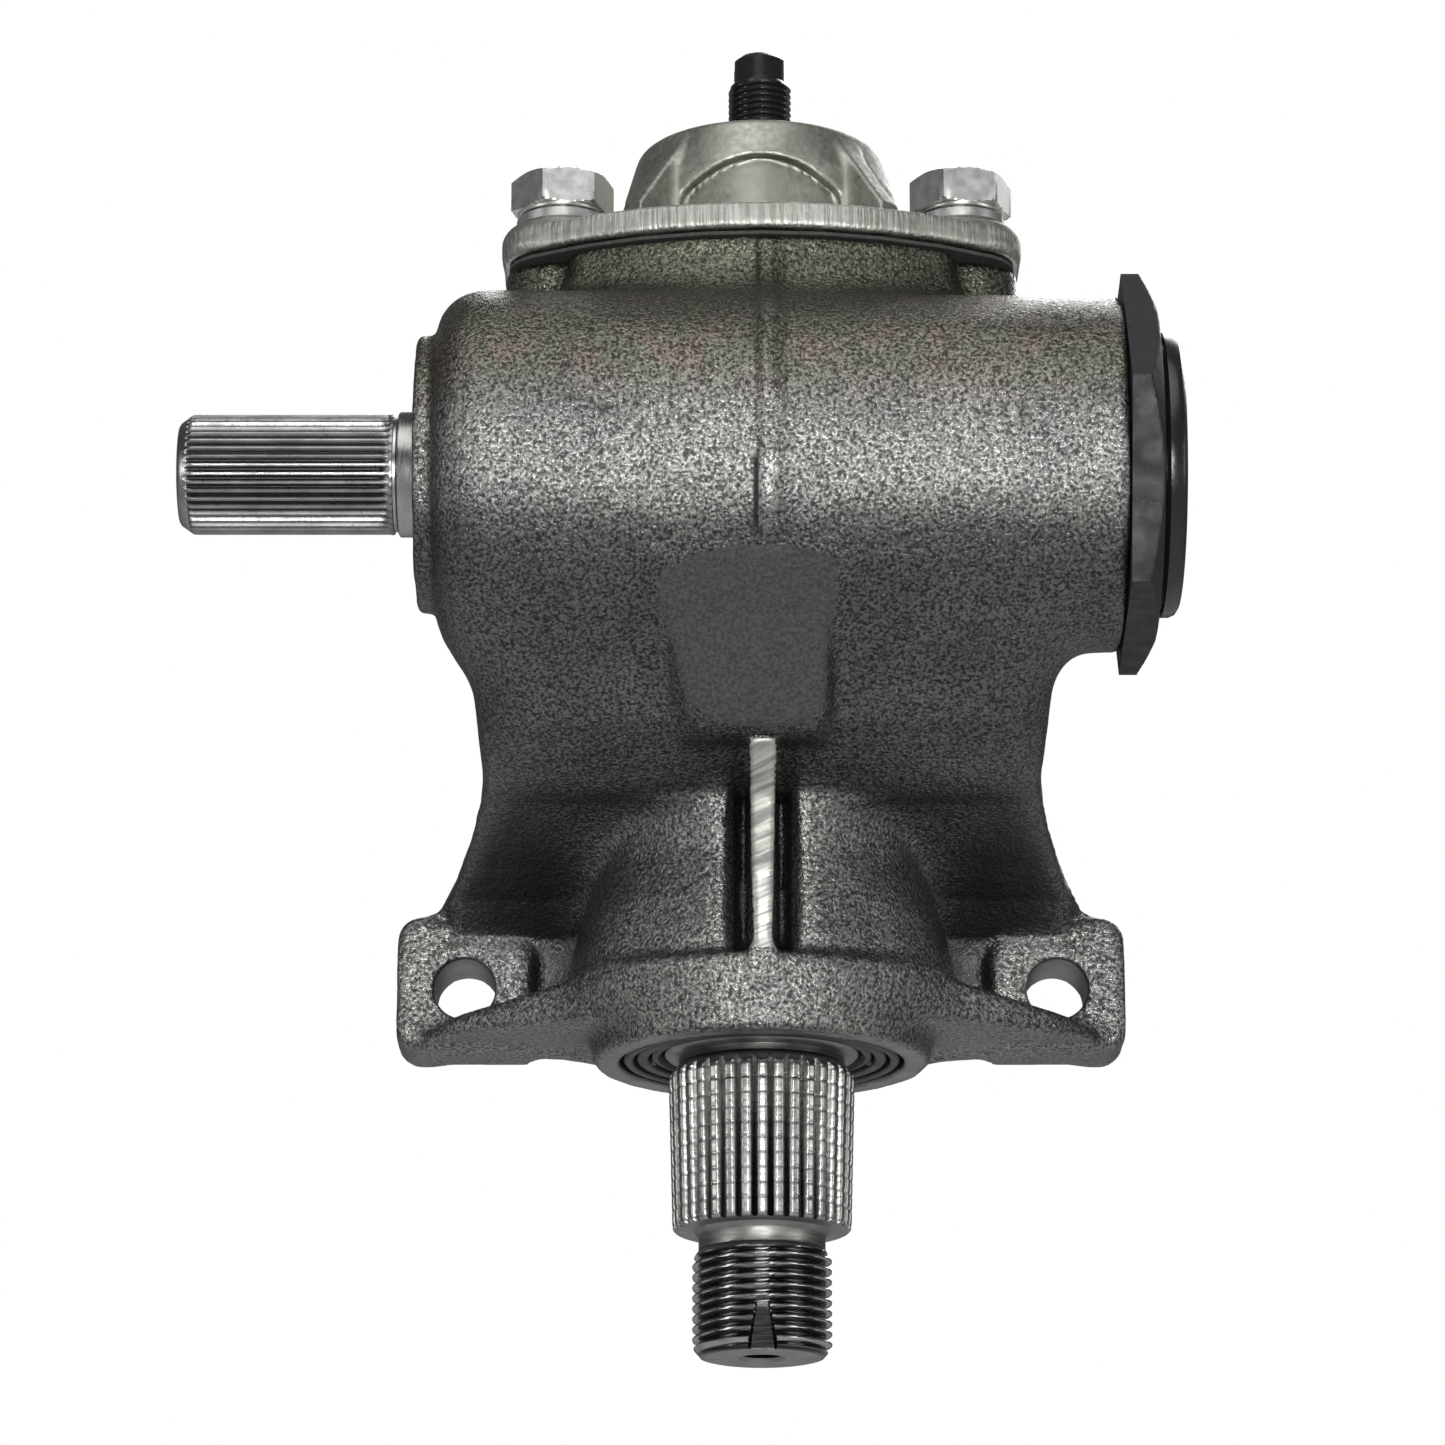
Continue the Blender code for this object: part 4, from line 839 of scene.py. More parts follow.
def housing_cuts(x, y, z):
    """Bores, seats and holes."""
    worm, sector, half = from_worm(y, z), from_sector(x, y), np.abs(x)
    worm_bore, nose_bore, room, mouth_radius, mouth_taper = 20.3, 14.4, 33.5, 17.6, 1.6
    shaft_bore, bearing_bore, seal_bore, tapped_radius, mouth_shift = 14.5, 17.7, 20.6, 4.35, 20.0
    lobe = np.clip((SECTOR_Y - y) / mouth_shift, 0, 1)
    mouth = np.hypot(x, y - SECTOR_Y + mouth_shift * lobe) - (mouth_radius - mouth_taper * lobe)
    return lowest(
        np.maximum(worm - worm_bore, -41.8 - x),
        np.maximum(worm - nose_bore, x + 39.0),
        highest(np.where(y < SECTOR_Y, sector, half) - room, y + 7.5, span(z, 43.4, 82.0)),
        np.maximum(mouth, 80.0 - z),
        np.maximum(sector - shaft_bore, z - 45.0),
        np.maximum(sector - bearing_bore, z - 17.0),
        np.maximum(sector - seal_bore, z + 5.2),
        np.maximum(np.hypot(half - EAR_HOLE_X, z) - EAR_HOLE_RADIUS, -40.0 - y),
        np.maximum(from_bolts(half - BOLT_X, y) - tapped_radius, 81.5 - z),
    )


def housing_rough(x, y, z):
    """The housing without its small detail."""
    return soft_max(housing_body(x, y, z), -housing_cuts(x, y, z), 0.5)


def housing_fine(x, y, z):
    """The housing with the mould's slight mismatch and a casting's unevenness."""
    step_height = 0.8
    front = np.clip((-45.0 - y) / 8.0, 0, 1) * np.clip((z - 46.5) / 4.0, 0, 1)
    seam = np.clip((x + 0.9) / 0.5, 0, 1) * np.clip((3.4 - x) / 2.6, 0, 1) * front
    uneven = 0.1 * waves(x, y, z, 9.0, 3) + 0.05 * waves(x, y, z, 3.2, 4)
    body = housing_body(x, y, z) - step_height * seam - uneven * np.clip(-(y + 1.0), 0, 1)
    flats = span(z, BOSS_BOTTOM, HOUSING_TOP), span(x, -EAR_END, EAR_END), span(y, HOUSING_LOW[1], 0.0)
    return soft_max(highest(body, *flats), -housing_cuts(x, y, z), 0.5)


def housing_kinds(x, y, z):
    """Which material each place of the housing has: 0 cast, 1 machined, 2 ground, 3 smooth."""
    near, near_bore, near_rib, near_facet = 0.12, 0.25, 0.35, 0.5
    flats = (z < BOSS_BOTTOM + near) | (z > HOUSING_TOP - near) | (y > -near)
    right_end = (x > BARREL_RIGHT - near) & (z > 30.0)
    kind = ((np.abs(housing_cuts(x, y, z)) < near_bore) | flats | right_end).astype(int)
    on_rib = np.abs(y - level(z, RIB_HEIGHTS, RIB_FRONTS)) < near_rib
    kind[(np.abs(x) < 1.9) & (span(z, -4.0, 25.0) < 0) & on_rib] = 2
    on_facet = np.abs(plane(x, y, z, *FACET[:3], IN_BULGE)) < near_facet
    on_facet &= span(z, 25.0 + 0.03 * x**2, 45.8 - 0.019 * x**2) < 0
    kind[on_facet & (np.abs(centre_bulge(x, y, z)) < near_facet)] = 3
    return kind


def make_housing():
    step = 0.7
    cast_piece(
        "housing_casting", housing_rough, housing_fine, (HOUSING_LOW, HOUSING_HIGH), step,
        [CAST_IRON, CUT_IRON, GROUND_IRON, SMOOTH_IRON], housing_kinds, "housing",
    )


# -------------------- cover

def gussets(x, y, z):
    """The four ribs from the hub out towards the cover bolts."""
    half_thick, start = 1.9, 12.0
    found = []
    for bolt_y in (BOLT_FRONT_Y, BOLT_REAR_Y):
        deep = bolt_y - SECTOR_Y
        long = math.hypot(BOLT_X, deep)
        out = (np.abs(x) * BOLT_X + (y - SECTOR_Y) * deep) / long
        across = (np.abs(x) * deep - (y - SECTOR_Y) * BOLT_X) / long
        one = soft_max(np.abs(across) - half_thick, z - level(out, GUSSET_REACH, GUSSET_TOP), 1.0)
        found.append(highest(one, FLANGE_TOP - 2.0 - z, start - out))
    return lowest(*found)


def cover_body(x, y, z):
    """The cover before any cut: flange, dome with its arched recess, gussets and bolt pads."""
    pad_radius, inside = 8.1, 99.0
    away = from_sector(x, y)
    radius = level(z, DOME_HEIGHTS, DOME_RADII)
    dome = drum(away, z, inside, COVER_HIGH[2], radius, 1.2)
    arch = z - ARCH_TOP + ARCH_DROP * (x / ARCH_HALF) ** 2 + 6.0 * np.maximum(np.abs(x) - ARCH_HALF, 0)
    recess = np.maximum(arch * 0.6, radius - ARCH_DEPTH - away)
    return joined(
        soft_max(neck_plan(x, y, 0.0), span(z, COVER_LOW[2], FLANGE_TOP), 0.9),
        (soft_max(dome, -recess, 0.6), 1.8),
        (gussets(x, y, z), 1.6),
        (drum(from_bolts(np.abs(x) - BOLT_X, y), z, inside, PAD_TOP, pad_radius, 0.7), 1.4),
    )


def cover_cuts(x, y, z):
    """The bush's bore, the journal's room, the screw's hole, its nut's seat and the bolt holes."""
    away, bush, room, screw, bolt = from_sector(x, y), 15.5, 13.0, 5.1, 4.4
    return lowest(
        np.maximum(away - bush, z - 115.8),
        np.maximum(away - room, z - 117.5),
        away - screw,
        np.maximum(away - SPOT_FACE_RADIUS, SPOT_FACE_Z - z),
        from_bolts(np.abs(x) - BOLT_X, y) - bolt,
    )


def cover_rough(x, y, z):
    """The cover without its small detail."""
    return soft_max(cover_body(x, y, z), -cover_cuts(x, y, z), 0.4)


def cover_fine(x, y, z):
    """The cover with a casting's unevenness."""
    uneven = 0.05 * waves(x, y, z, 6.0, 5) * np.clip((COVER_HIGH[2] - z) / 2, 0, 1)
    body = np.maximum(cover_body(x, y, z) - uneven, span(z, COVER_LOW[2], COVER_HIGH[2]))
    return soft_max(body, -cover_cuts(x, y, z), 0.4)


def cover_kinds(x, y, z):
    """1 where the cover was machined."""
    return (np.abs(cover_cuts(x, y, z)) < 0.2) | (z < COVER_LOW[2] + 0.1)


def make_cover():
    step = 0.5
    materials = [ALUMINIUM, turned_steel("cover_machined", (0.55, 0.55, 0.53), 0.3)]
    box = (COVER_LOW, COVER_HIGH)
    cast_piece(
        "cover_casting", cover_rough, cover_fine, box, step, materials, cover_kinds, "top_cover",
    )


# -------------------- threads and splines

def thread_wave(heights, angles, pitch):
    """0 at a thread's root and 1 at its crest."""
    turn = (heights[:, None] / pitch - angles[None, :] / 360.0) % 1.0
    return np.clip((0.5 - np.abs(turn - 0.5)) * 3.2 - 0.3, 0, 1)


def tooth_wave(angles, teeth, crest, root):
    """0 in a spline's spaces and 1 on its teeth; crest and root are shares of the pitch that are flat."""
    turn = ((angles + 90.0) * teeth / 360.0) % 1.0
    from_crest = np.minimum(turn, 1.0 - turn)
    slope = 0.5 - crest / 2 - root / 2
    return np.clip((0.5 - root / 2 - from_crest) / slope, 0, 1)


# -------------------- fasteners

def make_bolt(node):
    """A hexagon bolt: chamfered head, washer face and threaded shank."""
    low, high = box_of(node)
    x, y, _ = middle_of(node)
    flats, corner_at, head_height, crown, pitch = 13.0, 90.0 - 21.0, 5.3, 0.6, 1.25
    core, thread_depth, shank_radius, washer_face = 3.45, 0.55, 4.0, 6.1
    seat, top, angles = high[2] - head_height, high[2] + crown, grid_angles(120)
    outline = hexagon(flats, corner_at, angles)
    thread = np.arange(low[2] + 1.0, seat - 3.0, 0.25)
    rows = [(low[2], 3.2), *zip(thread, core + thread_depth * thread_wave(thread, angles, pitch))]
    rows += [(seat - 2.0, shank_radius), (seat, shank_radius)]
    rows += [(seat, washer_face), (seat + 0.4, washer_face)]
    for up in (0.4, 0.5, 0.65, 0.8):
        rows.append((seat + up, np.minimum(outline, 6.55 + (up - 0.4) * 2.4)))
    for down in (1.5, 1.3, 1.1, 0.95, 0.8, 0.65, 0.5, 0.35, 0.2, 0.1):
        rows.append((top - down, np.minimum(outline, 6.15 + down * 1.75)))
    rows += [(top, 6.1), (top, 4.4), (top - 0.2, 4.0)]
    turned(node.replace("cover_bolt", "hex_bolt"), rows, (x, y, 0), "Z", ZINC, node)


def make_spring_washer(node):
    """A split ring with its ends sprung apart."""
    low, high = box_of(node)
    x, y, _ = middle_of(node)
    inner, outer, thick, edge = 4.3, 6.6, 1.7, 0.25
    spring, start, sweep, count = high[2] - low[2] - thick, -12, 344, 72
    section = [(outer - edge, 0), (outer, edge), (outer, thick - edge), (outer - edge, thick)]
    section += [(inner, thick), (inner, 0)]
    size = len(section)
    points, faces = [], []
    for step in range(count + 1):
        share = step / count
        angle = math.radians(start + sweep * share)
        for radius, height in section:
            rise = low[2] + spring * share + height
            points.append((x + radius * math.cos(angle), y + radius * math.sin(angle), rise))
    for here, i in product(range(0, count * size, size), range(size)):
        there, j = here + size, (i + 1) % size
        faces.append((there + i, there + j, here + j, here + i))
    faces.append(tuple(range(size)))
    faces.append(tuple(count * size + i for i in range(size))[::-1])
    new_piece(node.replace("cover_", ""), points, faces, [ZINC], node)


def cut_slot(piece, low, high, at):
    """Cuts a box from a piece, with a helper that is removed again."""
    mesh = bpy.data.meshes.new("slot")
    points = (np.array(list(product(*zip(low, high)))) + np.array(at)) * MM
    faces = [(0, 1, 3, 2), (4, 6, 7, 5), (0, 4, 5, 1), (2, 3, 7, 6), (0, 2, 6, 4), (1, 5, 7, 3)]
    mesh.from_pydata(points.tolist(), [], faces)
    helper = linked("slot", mesh)
    cut = piece.modifiers.new("slot", "BOOLEAN")
    cut.operation = "DIFFERENCE"
    cut.object = helper
    graph = bpy.context.evaluated_depsgraph_get()
    made = bpy.data.meshes.new_from_object(piece.evaluated_get(graph))
    piece.modifiers.clear()
    piece.data = made
    bpy.data.objects.remove(helper)


def make_adjusting_screw():
    """The black adjusting screw: head in the T-slot, thread, and plain end with a driver slot."""
    low, high = box_of("adjusting_screw")
    bottom, top, shoulder = low[2], high[2], 138.4
    head_top, neck, core, radius, end_radius = bottom + 3.0, 4.1, 4.2, 4.75, 3.9
    thread = np.arange(head_top + 2.0, shoulder - 0.9, 0.125)
    crests = core + (radius - core) * thread_wave(thread, grid_angles(96), 1.0)
    rows = [
        (bottom, 7.6), (bottom + 0.5, 8.0), (head_top - 0.3, 8.0), (head_top, 7.7), (head_top + 0.1, neck),
        (head_top + 1.9, neck), *zip(thread, crests), (shoulder - 0.5, 4.45), (shoulder, 4.0),
        (shoulder + 0.1, end_radius), (top - 1.0, end_radius), (top - 0.3, end_radius - 0.7),
        (top, end_radius - 1.2),
    ]
    screw = turned(
        "adjuster_screw_black", rows, SECTOR_AT, "Z", BLACK_SCREW, "adjusting_screw", "adjuster"
    )
    half_slot, slot_depth = 0.8, 2.4
    cut_slot(screw, (-8, -half_slot, top - slot_depth), (8, half_slot, top + 2), SECTOR_AT)
    screw.data.set_sharp_from_angle(angle=math.radians(32))


def nut_rows(flats, corner_at, low, high, bore, count, both_ends):
    """Rows of a hexagon nut, chamfered at its high face and perhaps at its low one too."""
    outline = hexagon(flats, corner_at, grid_angles(count))
    drop, face, start = (outline.max() - flats / 2) * 0.55, flats / 2 * 0.97, flats / 2 * 0.985
    chamfer = [(step, np.minimum(outline, start + step / 0.5)) for step in np.linspace(0, drop, 9)]
    rows = [(low, bore), (low, outline)]
    if both_ends:
        rows = [(low, bore), (low, face)] + [(low + step, radius) for step, radius in chamfer]
    rows += [(high - step, radius) for step, radius in chamfer[::-1]]
    return rows + [(high, face), (high, bore)]


def make_lock_nut():
    """The hexagon nut in the dome's pocket."""
    low, high = box_of("adjuster_lock_nut")
    rows = nut_rows(17.0, 12.0, low[2], high[2], 5.0, 120, True)
    turned("lock_nut", rows, SECTOR_AT, "Z", ZINC, "adjuster_lock_nut", closed=True)


# -------------------- right end

ON_WORM = (0, WORM_Y, WORM_Z)


def make_plug():
    """The threaded plug with its hexagon socket, and the hexagon ring that locks it."""
    low, high = box_of("worm_bearing_plug")
    ring_low, ring_high = box_of("plug_lock_ring")
    left, right, ring_right = low[0], high[0], ring_high[0]
    rim, core, hollow, floor, groove, count = 20.2, 19.9, 14.5, 50.0, (43.4, 45.8), 240
    thread_depth, pitch, socket_flats, socket_depth = 0.75, 1.5, 22.0, 5.5
    thread = np.arange(46.2, ring_right + 0.3, 0.14)
    crests = core - thread_depth + thread_depth * thread_wave(thread, grid_angles(count), pitch)
    socket = hexagon(socket_flats, 0.0, grid_angles(count))
    rows = [
        (floor, hollow), (left + 0.4, hollow), (left, hollow + 0.4), (left, core - 0.5), (left + 0.5, core),
        (groove[0], core), (groove[0], core - 1.6), (groove[1], core - 1.6), (groove[1], core - 0.8),
        *zip(thread, crests), (ring_right + 0.5, core - 0.9), (ring_right + 0.8, rim - 0.3),
        (ring_right + 1.1, rim), (right - 1.3, rim), (right - 0.5, rim - 0.35), (right - 0.05, rim - 1.1),
        (right, rim - 1.6), (right, rim - 3.4), (right - 0.35, rim - 3.7), (right - 0.35, rim - 5.2),
        (right - 0.1, rim - 5.4), (right - 0.1, socket + 0.6), (right - 0.8, socket),
        (right - socket_depth, socket), (right - socket_depth - 0.6, socket - 1.6),
    ]
    turned("bearing_plug_black", rows, ON_WORM, "X", BLACK_SCREW, "worm_bearing_plug")
    rows = nut_rows(49.0, 90 - 10.5, ring_low[0], ring_right, 20.5, count, False)
    turned("lock_ring_black", rows, ON_WORM, "X", BLACK_RING, "plug_lock_ring", closed=True)


# -------------------- output shaft

SPLINE_TEETH, SPLINE_TOP, SPLINE_BOTTOM = 34, -14.4, -38.4
THREAD_TOP, SHAFT_END = -41.6, -56.6


def output_thread(heights, angles):
    """The threaded end: M20 with a fine pitch, a chamfer, and the slot milled across its lowest turns."""
    radius, depth, pitch, slot_top = 10.0, 0.92, 1.5, SHAFT_END + 6.7
    high = heights[:, None]
    found = radius - depth + depth * thread_wave(heights, angles, pitch)
    found = np.minimum(found, 8.75 + (high - SHAFT_END) * 0.85)
    found = np.minimum(found, 9.15 + np.maximum(THREAD_TOP + 0.4 - high, 0) * 0.6)
    from_front = (angles[None, :] + 90.0 + 180.0) % 360.0 - 180.0
    half_width = 0.8 + (slot_top - high) * 0.22
    flat = radius - 0.65 - (slot_top - high) * 0.27
    in_slot = (np.abs(np.sin(np.radians(from_front))) * radius < half_width) & (np.abs(from_front) < 60)
    in_slot = in_slot & (high < slot_top)
    return np.where(in_slot, np.minimum(found, flat / np.cos(np.radians(from_front))), found)


def output_spline(heights, angles):
    """The tapered spline, with the turned marks that cross its teeth."""
    depth, mark_pitch, mark_depth, mark_half = 1.05, 2.15, 0.13, 0.32
    high = heights[:, None]
    tip = np.interp(high, (SPLINE_BOTTOM, SPLINE_TOP), (12.85, 13.5))
    wave = np.sin(tooth_wave(angles, SPLINE_TEETH, 0.34, 0.12) * np.pi / 2)[None, :]
    from_mark = np.abs((high / mark_pitch) % 1.0 - 0.5) * mark_pitch
    marks = mark_depth * np.clip(1.0 - from_mark / mark_half, 0, 1)
    found = tip - depth + (depth - marks) * wave
    found = np.minimum(found, 12.2 + np.maximum(SPLINE_TOP - high, 0) * 0.75)
    return np.minimum(found, 12.35 + np.maximum(high - SPLINE_BOTTOM, 0) * 1.1)


def make_output_shaft():
    """The output shaft below its seal: spline, neck and threaded end."""
    angles, hole, hole_depth, neck = grid_angles(SPLINE_TEETH * 12), 2.9, 6.1, 9.1
    thread = np.arange(SHAFT_END + 0.15, THREAD_TOP + 0.5, 0.15)
    teeth = np.arange(SPLINE_BOTTOM + 0.12, SPLINE_TOP + 0.01, 0.2)
    points, faces = rings([
        (SHAFT_END + hole_depth, hole), (SHAFT_END + 0.5, hole), (SHAFT_END, hole + 0.5), (SHAFT_END, 8.3),
        *zip(thread, output_thread(thread, angles)),
        (THREAD_TOP + 0.7, neck), (SPLINE_BOTTOM - 0.9, neck), (SPLINE_BOTTOM - 0.5, 9.3),
        (SPLINE_BOTTOM, 9.8), (SPLINE_BOTTOM, 12.0), (SPLINE_BOTTOM + 0.06, 12.3),
        *zip(teeth, output_spline(teeth, angles)), (SPLINE_TOP + 0.3, 12.0), (SPLINE_TOP + 1.2, 12.0),
        (SPLINE_TOP + 1.5, 13.6), (SPLINE_TOP + 1.9, 14.0), (0.0, 14.0), (0.0, 12.0),
    ])
    materials = [OUTPUT_STEEL, THREAD_STEEL, SPLINE_STEEL]
    at = placed(points, SECTOR_AT, "Z")
    shaft = new_piece(
        "output_shaft_end", at, faces, materials, "sector_shaft", "output_shaft", sharp=38.0
    )
    off_axis = np.hypot(points[:, 0], points[:, 1])
    # The thread and the centre hole take the thread steel, with its painted shade in the roots and the
    # hole.
    dark = (points[:, 2] < THREAD_TOP + 0.6) & ((off_axis > 7.0) | (off_axis < 3.2))
    kinds = np.array([int(dark[face].all()) for face in faces])
    middles = np.array([points[face, 2].mean() for face in faces])
    kinds[span(middles, SPLINE_BOTTOM + 0.1, SPLINE_TOP + 0.2) < 0] = 2
    set_materials(shaft, kinds)


ROLLER_REACH, ROLLER_TILT = 17.5, math.radians(8.5)
ROLLER_Y = SECTOR_Y - ROLLER_REACH
HEAD_BOTTOM, HEAD_TOP, HEAD_RADIUS = 44.4, 80.4, 16.5
SHAFT_TOP = box_of("sector_shaft")[1][2]


def upper_shaft(x, y, z):
    """The forged upper half of the output shaft: journals, head, the roller's fork, and T-slot."""
    lower_journal, upper_journal, reach, fork_half, pin_radius = 14.0, 12.4, 26.2, 13.4, 3.8
    slot_half, slot_neck_half = 8.5, 5.3
    away = from_sector(x, y)
    along = x * math.cos(ROLLER_TILT) + (z - WORM_Z) * math.sin(ROLLER_TILT)
    across = (z - WORM_Z) * math.cos(ROLLER_TILT) - x * math.sin(ROLLER_TILT)
    deep = y - ROLLER_Y
    from_pin = np.hypot(across, deep)
    head = drum(away, z, HEAD_BOTTOM, HEAD_TOP, HEAD_RADIUS, 2.0)
    fork = drum(from_pin, along, -fork_half, fork_half, 6.4, 1.0)
    root = highest(np.abs(across) - 8.5, span(deep, 0.0, ROLLER_REACH + 4.0), np.abs(along) - fork_half)
    body = joined(
        drum(away, z, 0.0, HEAD_TOP, lower_journal, 0.8), (head, 2.5), (soft_min(fork, root, 1.5), 3.0)
    )
    body = soft_max(body, np.where(span(z, 40.0, 84.0) < 0, away - reach, -9.0), 1.0)
    body = soft_min(body, drum(away, z, HEAD_TOP - 4.0, SHAFT_TOP, upper_journal, 0.8), 1.2)
    cuts = lowest(
        np.maximum(from_pin - 14.5, np.abs(along) - 10.4),
        np.maximum(from_pin - pin_radius, np.abs(along) - 20.0),
        np.maximum(np.abs(x) - slot_half, span(z, 108.0, 112.9)),
        np.maximum(np.abs(x) - slot_neck_half, span(z, 112.0, 120.0)),
    )
    return soft_max(body, -cuts, 0.5)


def make_upper_shaft():
    box = ((-17.0, SECTOR_Y - 26.5, 0.0), (17.0, SECTOR_Y + 17.0, SHAFT_TOP))
    step = 0.55
    cast_piece(
        "output_shaft_head", upper_shaft, upper_shaft, box, step, [OUTPUT_STEEL], None, "sector_shaft",
        "output_shaft",
    )


# -------------------- input shaft

WORM_CORE, WORM_RADIUS, WORM_HALF, CREST_REACH = 7.6, 18.6, 23.5, 27.0
BALL_PITCH, BALL_X, RACE_RADIUS = 13.2, 31.0, 3.45
GEAR_RATIO, WORM_CLEARANCE, MOST_SWING = 14.7, 0.62, 49.0


def roller_radius(offset, grow):
    """The roller's radius at a place along its pin, moved out by grow."""
    tip_reach, ridge, flat, slope = 32.0, 6.26, 0.7, math.tan(math.radians(22))
    least = 8.9 + grow
    tip = math.sqrt(tip_reach**2 - ridge**2) - ROLLER_REACH + grow
    flank = np.abs(np.abs(offset) - ridge) - flat - grow / math.cos(math.atan(slope))
    return np.where(np.abs(offset) <= least, np.clip(tip - flank / slope, least, tip), 0.0)


def worm_radii(places, angles, swing_step):
    """The waisted worm's radius along and around it: what the swinging roller leaves uncut."""
    centre, radius_step = SECTOR_Y - WORM_Y, 0.2
    crest = CREST_REACH**2 - np.minimum(np.abs(places), CREST_REACH - 0.1) ** 2
    crest = np.minimum(centre - np.sqrt(crest), WORM_RADIUS)
    radius = np.arange(WORM_CORE, WORM_RADIUS + 0.1, radius_step)[None, None, :]
    x = places[:, None, None]
    left = np.broadcast_to(crest[:, None], (len(places), len(angles))).copy()
    for swing in np.radians(np.arange(-MOST_SWING, MOST_SWING + 0.01, swing_step)):
        turned_by = np.radians(angles)[None, :, None] + GEAR_RATIO * swing
        y = radius * np.cos(turned_by) - centre
        z = radius * np.sin(turned_by)
        near_x = math.cos(swing) * x + math.sin(swing) * y
        near_y = -math.sin(swing) * x + math.cos(swing) * y + ROLLER_REACH
        along = near_x * math.cos(ROLLER_TILT) + z * math.sin(ROLLER_TILT)
        away = np.sqrt(np.maximum(near_x**2 + near_y**2 + z**2 - along**2, 0.0))
        inside = away < roller_radius(along, WORM_CLEARANCE)
        first = np.where(inside, radius, CREST_REACH).min(axis=2) - radius_step
        left = np.minimum(left, first)
    return np.maximum(left, WORM_CORE)


def worm_rows(count):
    """The worm and both ball races as (place, radius) rows."""
    coarse = grid_angles(120)
    places = np.linspace(-WORM_HALF + 0.8, WORM_HALF - 0.8, 110)
    radii = worm_radii(places, coarse, 0.6)
    # The worm's angles start from +Y; the rings' angles start from -Z once they lie along X.
    from_y = (grid_angles(count) - 90.0) % 360.0
    rows = [(place, np.interp(from_y, coarse, row, period=360.0)) for place, row in zip(places, radii)]
    race = [
        (BALL_X + RACE_RADIUS * math.sin(angle), BALL_PITCH + RACE_RADIUS * math.cos(angle))
        for angle in map(math.radians, np.linspace(262, 190, 12))
    ]
    right = sorted([(WORM_HALF, 13.4), (27.0, 12.2), *race, (33.2, 9.3), (37.4, 9.3), (38.0, 8.7)])
    left = [(-place, radius) for place, radius in right[::-1] if place < 37.0]
    return [*left, *rows, *right]


def make_input_shaft():
    """The input shaft in one piece: fine spline, relief groove, seal land, ball races and worm."""
    end, spline_end, teeth, radius, depth = box_of("worm_shaft")[0][0], -51.9, 42, 8.47, 0.55
    centre_hole, relief, land = 1.3, 8.1, 8.85
    count = teeth * 10
    wave = tooth_wave(grid_angles(count), teeth, 0.2, 0.16)
    rows = [(end + 3.5, centre_hole), (end + 1.0, centre_hole), (end, 2.3), (end, 6.9)]
    places = [end + step for step in (0.25, 0.6, 0.9, 1.2, 1.5, 1.8, 2.1, 2.6, 4.0, 12.0, 20.0)]
    places += [spline_end - step for step in (2.2, 1.9, 1.6, 1.3, 1.0, 0.8, 0.6, 0.45, 0.3)]
    for place in places:
        runout = max(0.0, 1.0 - (spline_end - 0.4 - place) / 1.4)
        now = depth * (1.0 - runout**2)
        cone = 7.1 + (place - end) * 0.72
        rows.append((place, np.minimum(radius - now + now * wave, cone)))
    points, faces = rings([
        *rows, (spline_end, radius), (spline_end + 0.1, relief), (spline_end + 0.45, relief),
        (spline_end + 0.75, 8.75), (spline_end + 1.0, land), (-37.2, land), (-36.8, 9.3), *worm_rows(count),
    ])
    shaft = new_piece(
        "input_shaft_worm", placed(points, ON_WORM, "X"), faces, [INPUT_STEEL, WORM_STEEL], "worm_shaft",
        "input_shaft",
    )
    set_materials(shaft, [int(not end + 1.4 < points[face, 2].mean() < spline_end) for face in faces])


# -------------------- seals and hidden parts

def make_output_seal():
    """The lip seal under the boss: raised rings with short bars between them."""
    low, high = box_of("output_shaft_seal")
    face, back = low[2], high[2]
    bar_height, outer, lip = 1.6, 19.9, 14.35
    bars = bar_height * (np.abs((grid_angles(360) % 30.0) - 15.0) < 1.6)
    profile = [
        (outer, back), (outer, face + 0.3), (19.6, face), (18.8, face), (18.6, face + 0.2),
        (18.6, face + 2.2), (18.0, face + 2.2), (18.0, face + 0.5), (17.8, face + 0.3), (16.6, face + 0.3),
        (16.4, face + 0.5), (16.4, face + 2.2), (15.8, face + 2.2), (15.8, face + 0.8), (15.0, face + 0.6),
        (14.4, face + 1.4), (lip, face + 1.8), (lip, back),
    ]
    rows = []
    for radius, height in profile:
        between_rings = 15.7 < radius < 18.1 and height > face + 1.0
        rows.append((height - bars if between_rings else height, radius))
    turned("output_seal", rows, SECTOR_AT, "Z", RUBBER, "output_shaft_seal", closed=True)


def dress_hidden_nodes():
    """Better finishes for the CAD nodes that keep their shape."""
    finishes = {
        PAPER: ["cover_gasket"],
        RUBBER: ["input_shaft_seal", "plug_seal_ring"],
        BRONZE: ["upper_bush", "roller_thrust_washer_left", "roller_thrust_washer_right"],
        BEARING_STEEL: [
            "worm_bearing_cup_left", "worm_bearing_cup_right", "worm_ball_cage_left",
            "worm_ball_cage_right", "lower_bearing_shell", "lower_needle_cage", "sector_roller",
            "roller_pin", "adjuster_shim",
        ],
    }
    for material, nodes in finishes.items():
        for node in nodes:
            for slot in frame["nodes"][node].material_slots:
                slot.material = material


# -------------------- camera, light and floor

def look_at(thing, place, target):
    """Puts a camera or lamp at a place, facing a target; both are in metres."""
    thing.location = Vector(place)
    thing.rotation_mode = "QUATERNION"
    thing.rotation_quaternion = (Vector(target) - Vector(place)).to_track_quat("-Z", "Y")


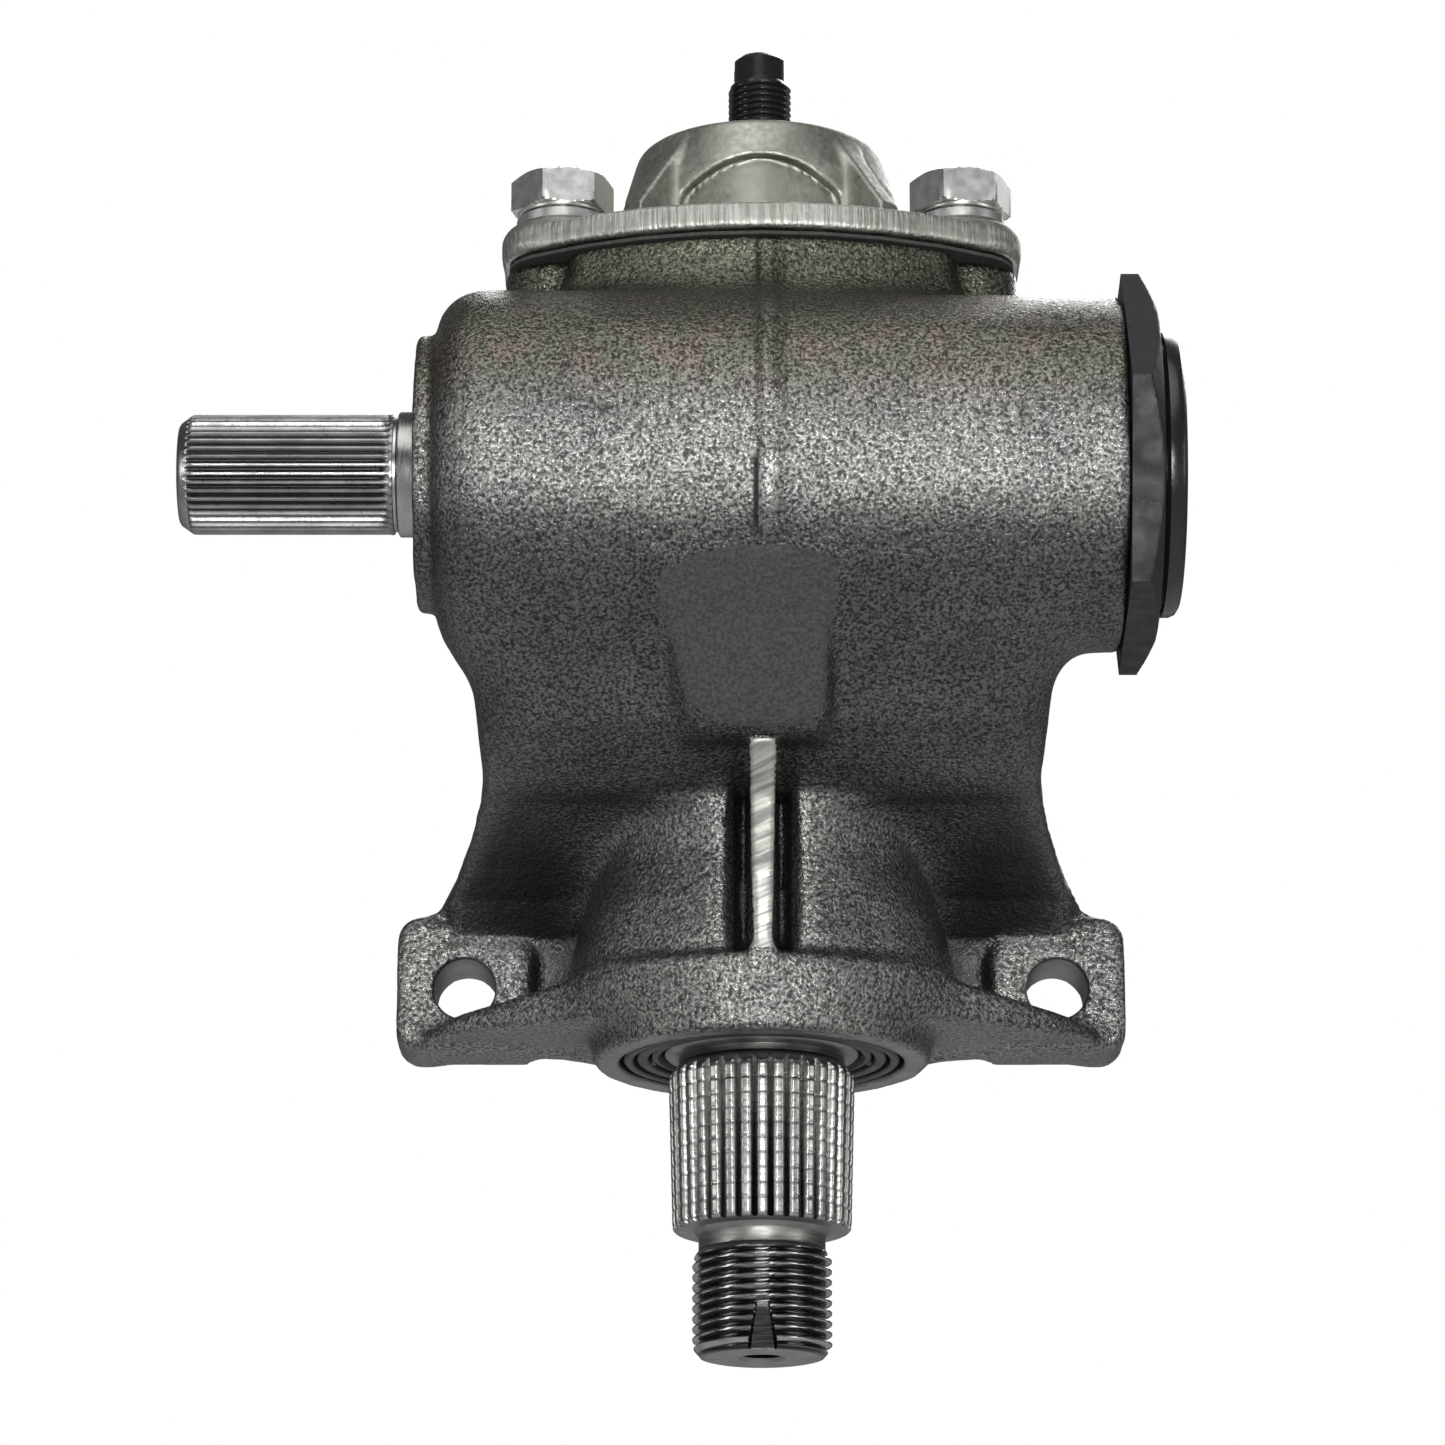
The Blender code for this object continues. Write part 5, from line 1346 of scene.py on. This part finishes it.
def make_camera():
    """The camera looks slightly up along +Y, from below the barrel."""
    target = Vector((-5.66, SECTOR_Y, 37.6)) * MM
    distance, elevation, focal_length = 0.806, math.radians(-16.0), 136.5
    back = Vector((0, -math.cos(elevation), math.sin(elevation)))
    camera = linked("camera", bpy.data.cameras.new("camera"))
    camera.data.sensor_width = 36.0
    camera.data.lens = focal_length
    camera.data.clip_start, camera.data.clip_end = 0.01, 20.0
    look_at(camera, target + back * distance, target)
    bpy.context.scene.camera = camera


# Soft round lamps: place and diameter in metres, power in watts, and spread in degrees.
LAMPS = {
    "key": ((0.02, -1.0, -0.09), 0.34, 0.67, 40),
    "top": ((-0.1, -0.9, 1.3), 1.8, 6.8, 90),
    "left": ((-0.85, -0.5, 0.08), 0.5, 2.6, 180),
    "right": ((0.85, -0.5, 0.06), 0.5, 2.6, 180),
    "rear": ((0.3, 0.9, 0.8), 0.9, 10.0, 180),
}
FLOOR_REACH, FLOOR_HEIGHT, FLOOR_CORNERS = 9.0, -0.9, 96
SURROUND, SURROUND_FOR_DIFFUSE = 0.13, 0.36


def make_lamps():
    for name, (place, size, power, spread) in LAMPS.items():
        light = bpy.data.lights.new(name, "AREA")
        light.shape = "DISK"
        light.size = size
        light.energy = power
        light.spread = math.radians(spread)
        look_at(linked(name, light), place, (0, SECTOR_Y * MM, 0.045))


def make_floor():
    """A wide pale disc, far below the gearbox that is held up in the air."""
    turns = np.linspace(0, 2 * np.pi, FLOOR_CORNERS, endpoint=False)
    height = np.full(FLOOR_CORNERS, FLOOR_HEIGHT)
    rim = np.stack([FLOOR_REACH * np.cos(turns), FLOOR_REACH * np.sin(turns), height], axis=1)
    mesh = bpy.data.meshes.new("floor")
    mesh.from_pydata(rim.tolist(), [], [tuple(range(FLOOR_CORNERS))])
    mesh.materials.append(Finish("floor_pale", grey(0.86), 0.7, 0.0).material)
    linked("floor", mesh)


def make_surround():
    """White where the camera sees it, dim in reflections, and brighter for rough surfaces."""
    world = bpy.data.worlds.new("surround")
    bpy.context.scene.world = world
    world.use_nodes = True
    nodes, links = world.node_tree.nodes, world.node_tree.links
    surround, white = Nodes(world.node_tree), (1, 1, 1, 1)
    path = surround.node("ShaderNodeLightPath").outputs
    dim = nodes["Background"]
    dim.inputs["Color"].default_value = white
    strength = surround.maths("MULTIPLY_ADD", path["Is Diffuse Ray"], SURROUND_FOR_DIFFUSE, SURROUND)
    links.new(strength, dim.inputs["Strength"])
    seen = surround.node("ShaderNodeBackground", {"Color": white, "Strength": 1.0})
    shaders = {0: path["Is Camera Ray"], 1: dim.outputs[0], 2: seen.outputs[0]}
    mixed = surround.node("ShaderNodeMixShader", shaders)
    links.new(mixed.outputs[0], nodes["World Output"].inputs["Surface"])
    bpy.context.scene.view_settings.view_transform = "Standard"


# -------------------- the whole object

make_camera()
make_housing()
make_cover()
for number in (1, 2, 3, 4):
    make_bolt("cover_bolt_%d" % number)
for number in (1, 2, 3, 4):
    make_spring_washer("cover_spring_washer_%d" % number)
make_adjusting_screw()
make_lock_nut()
make_plug()
make_output_shaft()
make_upper_shaft()
make_input_shaft()
make_output_seal()
dress_hidden_nodes()
make_lamps()
make_floor()
make_surround()
